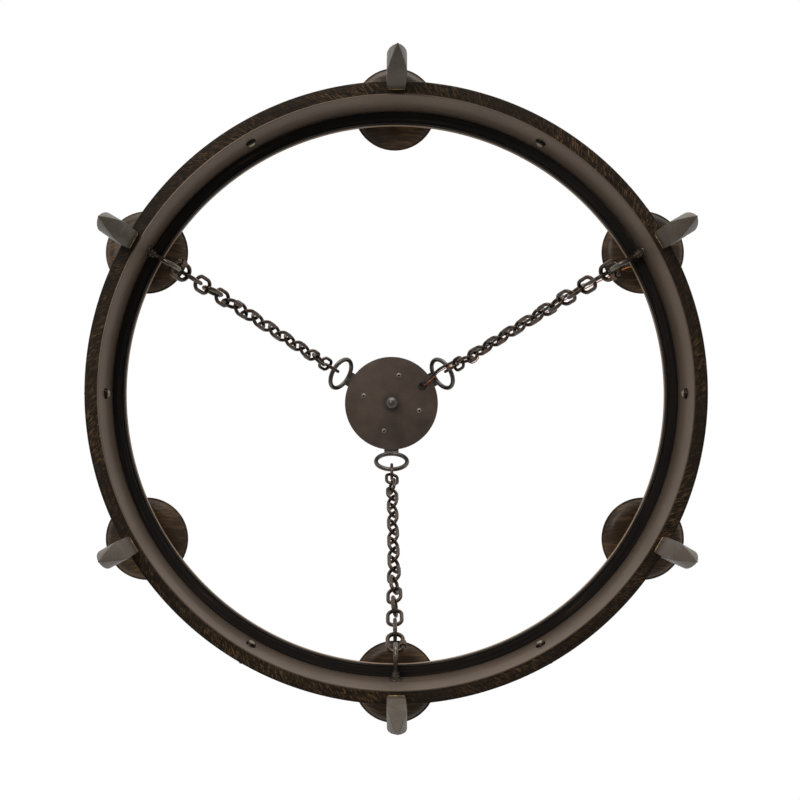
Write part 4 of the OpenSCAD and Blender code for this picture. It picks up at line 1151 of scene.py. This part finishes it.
def cord_route():
    top = WHEEL_Z + CAP_TOP + 2.9
    start = [
        (JOINT_R + 0.4, JOINT_SIDE, JOINT_Z), (JOINT_R + 6, JOINT_SIDE, JOINT_Z + 0.3),
        (CORD_WAY_R - 9, 6.5, JOINT_Z + 3), (CORD_WAY_R - 4, 2.5, JOINT_Z + 5),
        (CORD_WAY_R - 0.4, -0.8, JOINT_Z + 2.5), (CORD_WAY_R, -1.1, JOINT_Z - 4),
        (CORD_WAY_R, -1.1, -CANOPY_H - 3), (CORD_WAY_R + 7, -2.7, -CANOPY_H - 11),
    ]
    way = [
        (-12, -6, 0.03), (-11.5, -9, 0.068), (-9, -9.5, 0.104), (8, -7.5, 0.136), (ABOVE, -3, 0.17),
        (ABOVE + 0.5, -3.5, 0.22), (ABOVE, -1.5, 0.29), (ABOVE + 0.5, -3, 0.43), (ABOVE + 1, -1, 0.57),
        (ABOVE + 0.5, -3, 0.71), (ABOVE + 1, -1, 0.85),
    ]
    end = [
        (CAP_IR - 22, 1, top + 14), (CAP_IR - 6, 3, top + 3.5), (CAP_IR + 6, 7.5, top),
        (GROOVE_R - 11, 17, top + 1.5), (GROOVE_R - 4, CORD_SIDE - 1.5, top + 3.8),
        (GROOVE_R - 0.4, CORD_SIDE - 1, top + 1), (GROOVE_R, CORD_SIDE - 1, WHEEL_Z + CAP_TOP - 4),
        (GROOVE_R, CORD_SIDE - 1, WHEEL_Z + HOOP_H + 3.3),
    ]
    return start + [chain_point(*p) for p in way] + end


def ground_route():
    top = WHEEL_Z + CAP_TOP + 1.2
    side = JOINT_SIDE + 15
    start = [
        (JOINT_R - 5.7, side, JOINT_Z), (JOINT_R + 2, side, JOINT_Z + 0.2),
        (CORD_WAY_R - 10, 19, JOINT_Z + 2), (CORD_WAY_R - 2.5, 8, JOINT_Z + 2),
        (CORD_WAY_R, 2.9, JOINT_Z - 2), (CORD_WAY_R, 2.6, -CANOPY_H - 3),
        (CORD_WAY_R + 7, 1, -CANOPY_H - 11.3),
    ]
    way = [
        (-11.5, -2.4, 0.03), (-11, -5.4, 0.068), (-8.5, -5.4, 0.104), (9.5, -3.7, 0.138), (ABOVE, 2, 0.168),
        (ABOVE - 3, 10, 0.19), (ABOVE - 4, 12.5, 0.215), (ABOVE - 3, 10, 0.24), (ABOVE, 3, 0.275),
        (ABOVE + 0.5, 3.7, 0.54), (ABOVE, 1.5, 0.71), (ABOVE + 0.5, 4, 0.85),
    ]
    end = [
        (CAP_IR - 22, 6, top + 14.5), (CAP_IR - 6, 7.5, top + 3.5), (CAP_IR + 6, 12, top),
        (GROOVE_R - 11, 21.5, top + 0.5), (GROOVE_R - 4, CORD_SIDE + 2.5, top + 2.2),
        (GROOVE_R - 0.4, CORD_SIDE + 2.5, top), (GROOVE_R, CORD_SIDE + 2.5, WHEEL_Z + CAP_TOP - 5),
        (GROOVE_R, CORD_SIDE + 2.5, WHEEL_Z + HOOP_H + 3.3),
    ]
    return start + [chain_point(*p) for p in way] + end


def spline(p, i, t):
    """Point at share t of the curve from p[i] to the next, through all the points."""
    a, b, c, d = p[max(i - 1, 0)], p[i], p[i + 1], p[min(i + 2, len(p) - 1)]
    square, cube = 2 * a - 5 * b + 4 * c - d, 3 * b - a - 3 * c + d
    return 0.5 * (2 * b + (c - a) * t + square * t * t + cube * t ** 3)


def make_strand(name, node, route, radius, material):
    """Cord or wire swept smoothly through its route in the third chain's radial frame.

    It hangs still in the canopy and bends into the chain below it. From the rim's bore on it is a
    piece of its own. The two pieces meet exactly at rest. At the limits of wheel_yaw they part by
    one or two millimetres.
    """
    turn = turn_z(CHAINS[2])
    points = [Vector(p) for p in route]
    curve = [spline(points, i, j / ROUTE_STEPS) for i in range(len(points) - 1) for j in range(ROUTE_STEPS)]
    path = [turn @ (p * MM) for p in curve + points[-1:]]
    meet = (len(points) - RIM_POINTS) * ROUTE_STEPS
    below_canopy = turn @ (Vector((CORD_WAY_R, 0.0, -CANOPY_H - 3.0)) * MM)
    on_links = turn @ (Vector(chain_point(ABOVE, 0.0, BEND_END_SHARE)) * MM)
    inside, over_rim = (turn @ Vector((x, 0.0, 0.0)) for x in RIM_BEND)
    parts = (
        (name, path[:meet + 1], "chain_3", below_canopy, on_links, [node]),
        (name.replace("_look", "_end_look"), path[meet:], "wheel", inside, over_rim, []),
    )
    for part_name, way, body, start, end, hidden in parts:
        bm = bmesh.new()
        add_tube(bm, way, radius * MM, 16)
        obj = new_object(part_name, bm, 60.0)
        obj.data.materials.append(M[material])
        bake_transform(obj)
        if hidden:
            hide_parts(*hidden)


def make_cord():
    make_strand("supply_cord_look", "supply_cord", cord_route(), CORD_D / 2, "cord")
    make_strand("ground_wire_look", "ground_wire", ground_route(), GROUND_D / 2, "copper")
    bore, wall_r, flange_r = 3.9, 6.4, 8.4
    low, seat, high = -CANOPY_H - 2, -CANOPY_H, -CANOPY_H + CANOPY_T + 4
    outline = round_corners(
        [(bore, low), (flange_r, low), (flange_r, seat), (wall_r, seat), (wall_r, high), (bore, high)],
        [0.7, 0.9, 0.2, 0.1, 0.4, 0.4], 3)
    places = [turn_z(CHAINS[2]) @ move(CORD_WAY_R, 0, 0)]
    lathe_piece("cord_bushing_look", outline, 40, places, "ceiling", "bushing")


def make_connectors():
    """Tapered, ribbed twist-on connectors side by side on the hanger plate."""
    segs = 36
    levels = (
        (0.0, 2.4, 0), (0.6, 3.2, 0), (2.0, 3.5, 0.25), (12.0, 4.2, 0.25), (15.0, 4.45, 0), (18.0, 4.5, 0),
        (18.0, 3.0, 0), (12.2, 2.6, 0),
    )
    rows = []
    for z, r, rib in levels:
        radii = [(r - rib * (i % 2), 2 * pi * i / segs) for i in range(segs)]
        rows.append((z, [(rr * cos(t), rr * sin(t)) for rr, t in radii]))
    bm = bmesh.new()
    for s in (-1, 1, 3):
        place = turn_z(CHAINS[2]) @ move(JOINT_R - 18, JOINT_SIDE + 5 * s, JOINT_Z)
        stack_rows(bm, place @ Matrix.Rotation(pi / 2, 4, "Y"), rows)
    finished(bm, "wire_connectors_look", "ceiling", "connector")


def paint_node(node, material):
    for slot in nodes[node].material_slots:
        slot.material = M[material]


# ---- light

def add_area(name, where, towards, size, power, color):
    data = bpy.data.lights.new(name, "AREA")
    data.shape = "RECTANGLE"
    data.size, data.size_y = size
    data.energy = power
    data.color = color
    obj = bpy.data.objects.new(name, data)
    bpy.context.collection.objects.link(obj)
    obj.location = where
    obj.rotation_euler = (Vector(towards) - Vector(where)).to_track_quat("-Z", "Y").to_euler()


def make_world():
    """White to the camera. The light it gives is dim from below and bright from above."""
    world = bpy.data.worlds.new("room")
    bpy.context.scene.world = world
    t = Nodes(world)
    out = t.node("ShaderNodeOutputWorld")
    _, y, z = t.split(t.node("ShaderNodeTexCoord").outputs["Generated"])
    stops = ((0.0, 0.30), (0.35, 0.46), (0.47, 0.85), (0.53, 1.0), (1.0, 0.9))
    sky = t.ramp(t.math("MULTIPLY_ADD", z, 0.5, 0.5), *((p, (v, v * 0.985, v * 0.96)) for p, v in stops))
    # both ends of the room are brighter than its sides, the back one most
    ends = t.math("MULTIPLY_ADD", t.mul(y, y), 0.36, 0.79)
    lit = t.fill("ShaderNodeBackground", sky, t.math("MULTIPLY_ADD", y, -0.24, ends))
    seen = t.fill("ShaderNodeBackground", (1, 1, 1), 1.0)
    to_camera = t.node("ShaderNodeLightPath").outputs["Is Camera Ray"]
    t.put(t.fill("ShaderNodeMixShader", to_camera, lit, seen), out.inputs[0])


def make_lights():
    make_world()
    add_area("back_softbox", (0.0, -2.3, -0.9), (0, 0, -0.45), (2.6, 1.2), 34.0, (0.94, 0.97, 1.0))
    add_area("low_fill", (-0.9, -0.9, -2.2), (0, 0, -0.5), (1.0, 1.0), 15.0, (1.0, 0.97, 0.93))


# ---- build

make_camera()
make_rim()
for index in range(len(ARMS)):
    make_arm(index)
    make_dish(index)
    make_candle(index)
    make_lamp(index)
make_sockets()
make_nipples()
make_wall_bolts()
make_arm_screws()
make_eye_bolts()
make_canopy()
make_screws()
make_knob()
make_stud()
for index in range(len(CHAINS)):
    make_links(index, on_chain(index))
    make_screw_link(index, on_chain(index))
make_chain_rings()
make_welds()
make_cord()
make_connectors()
paint_node("mounting_bar", "zinc")
paint_node("hanger_plate", "ring")
paint_node("lamp_wires", "bushing")
make_lights()

scene = bpy.context.scene
scene.view_settings.view_transform = "Standard"
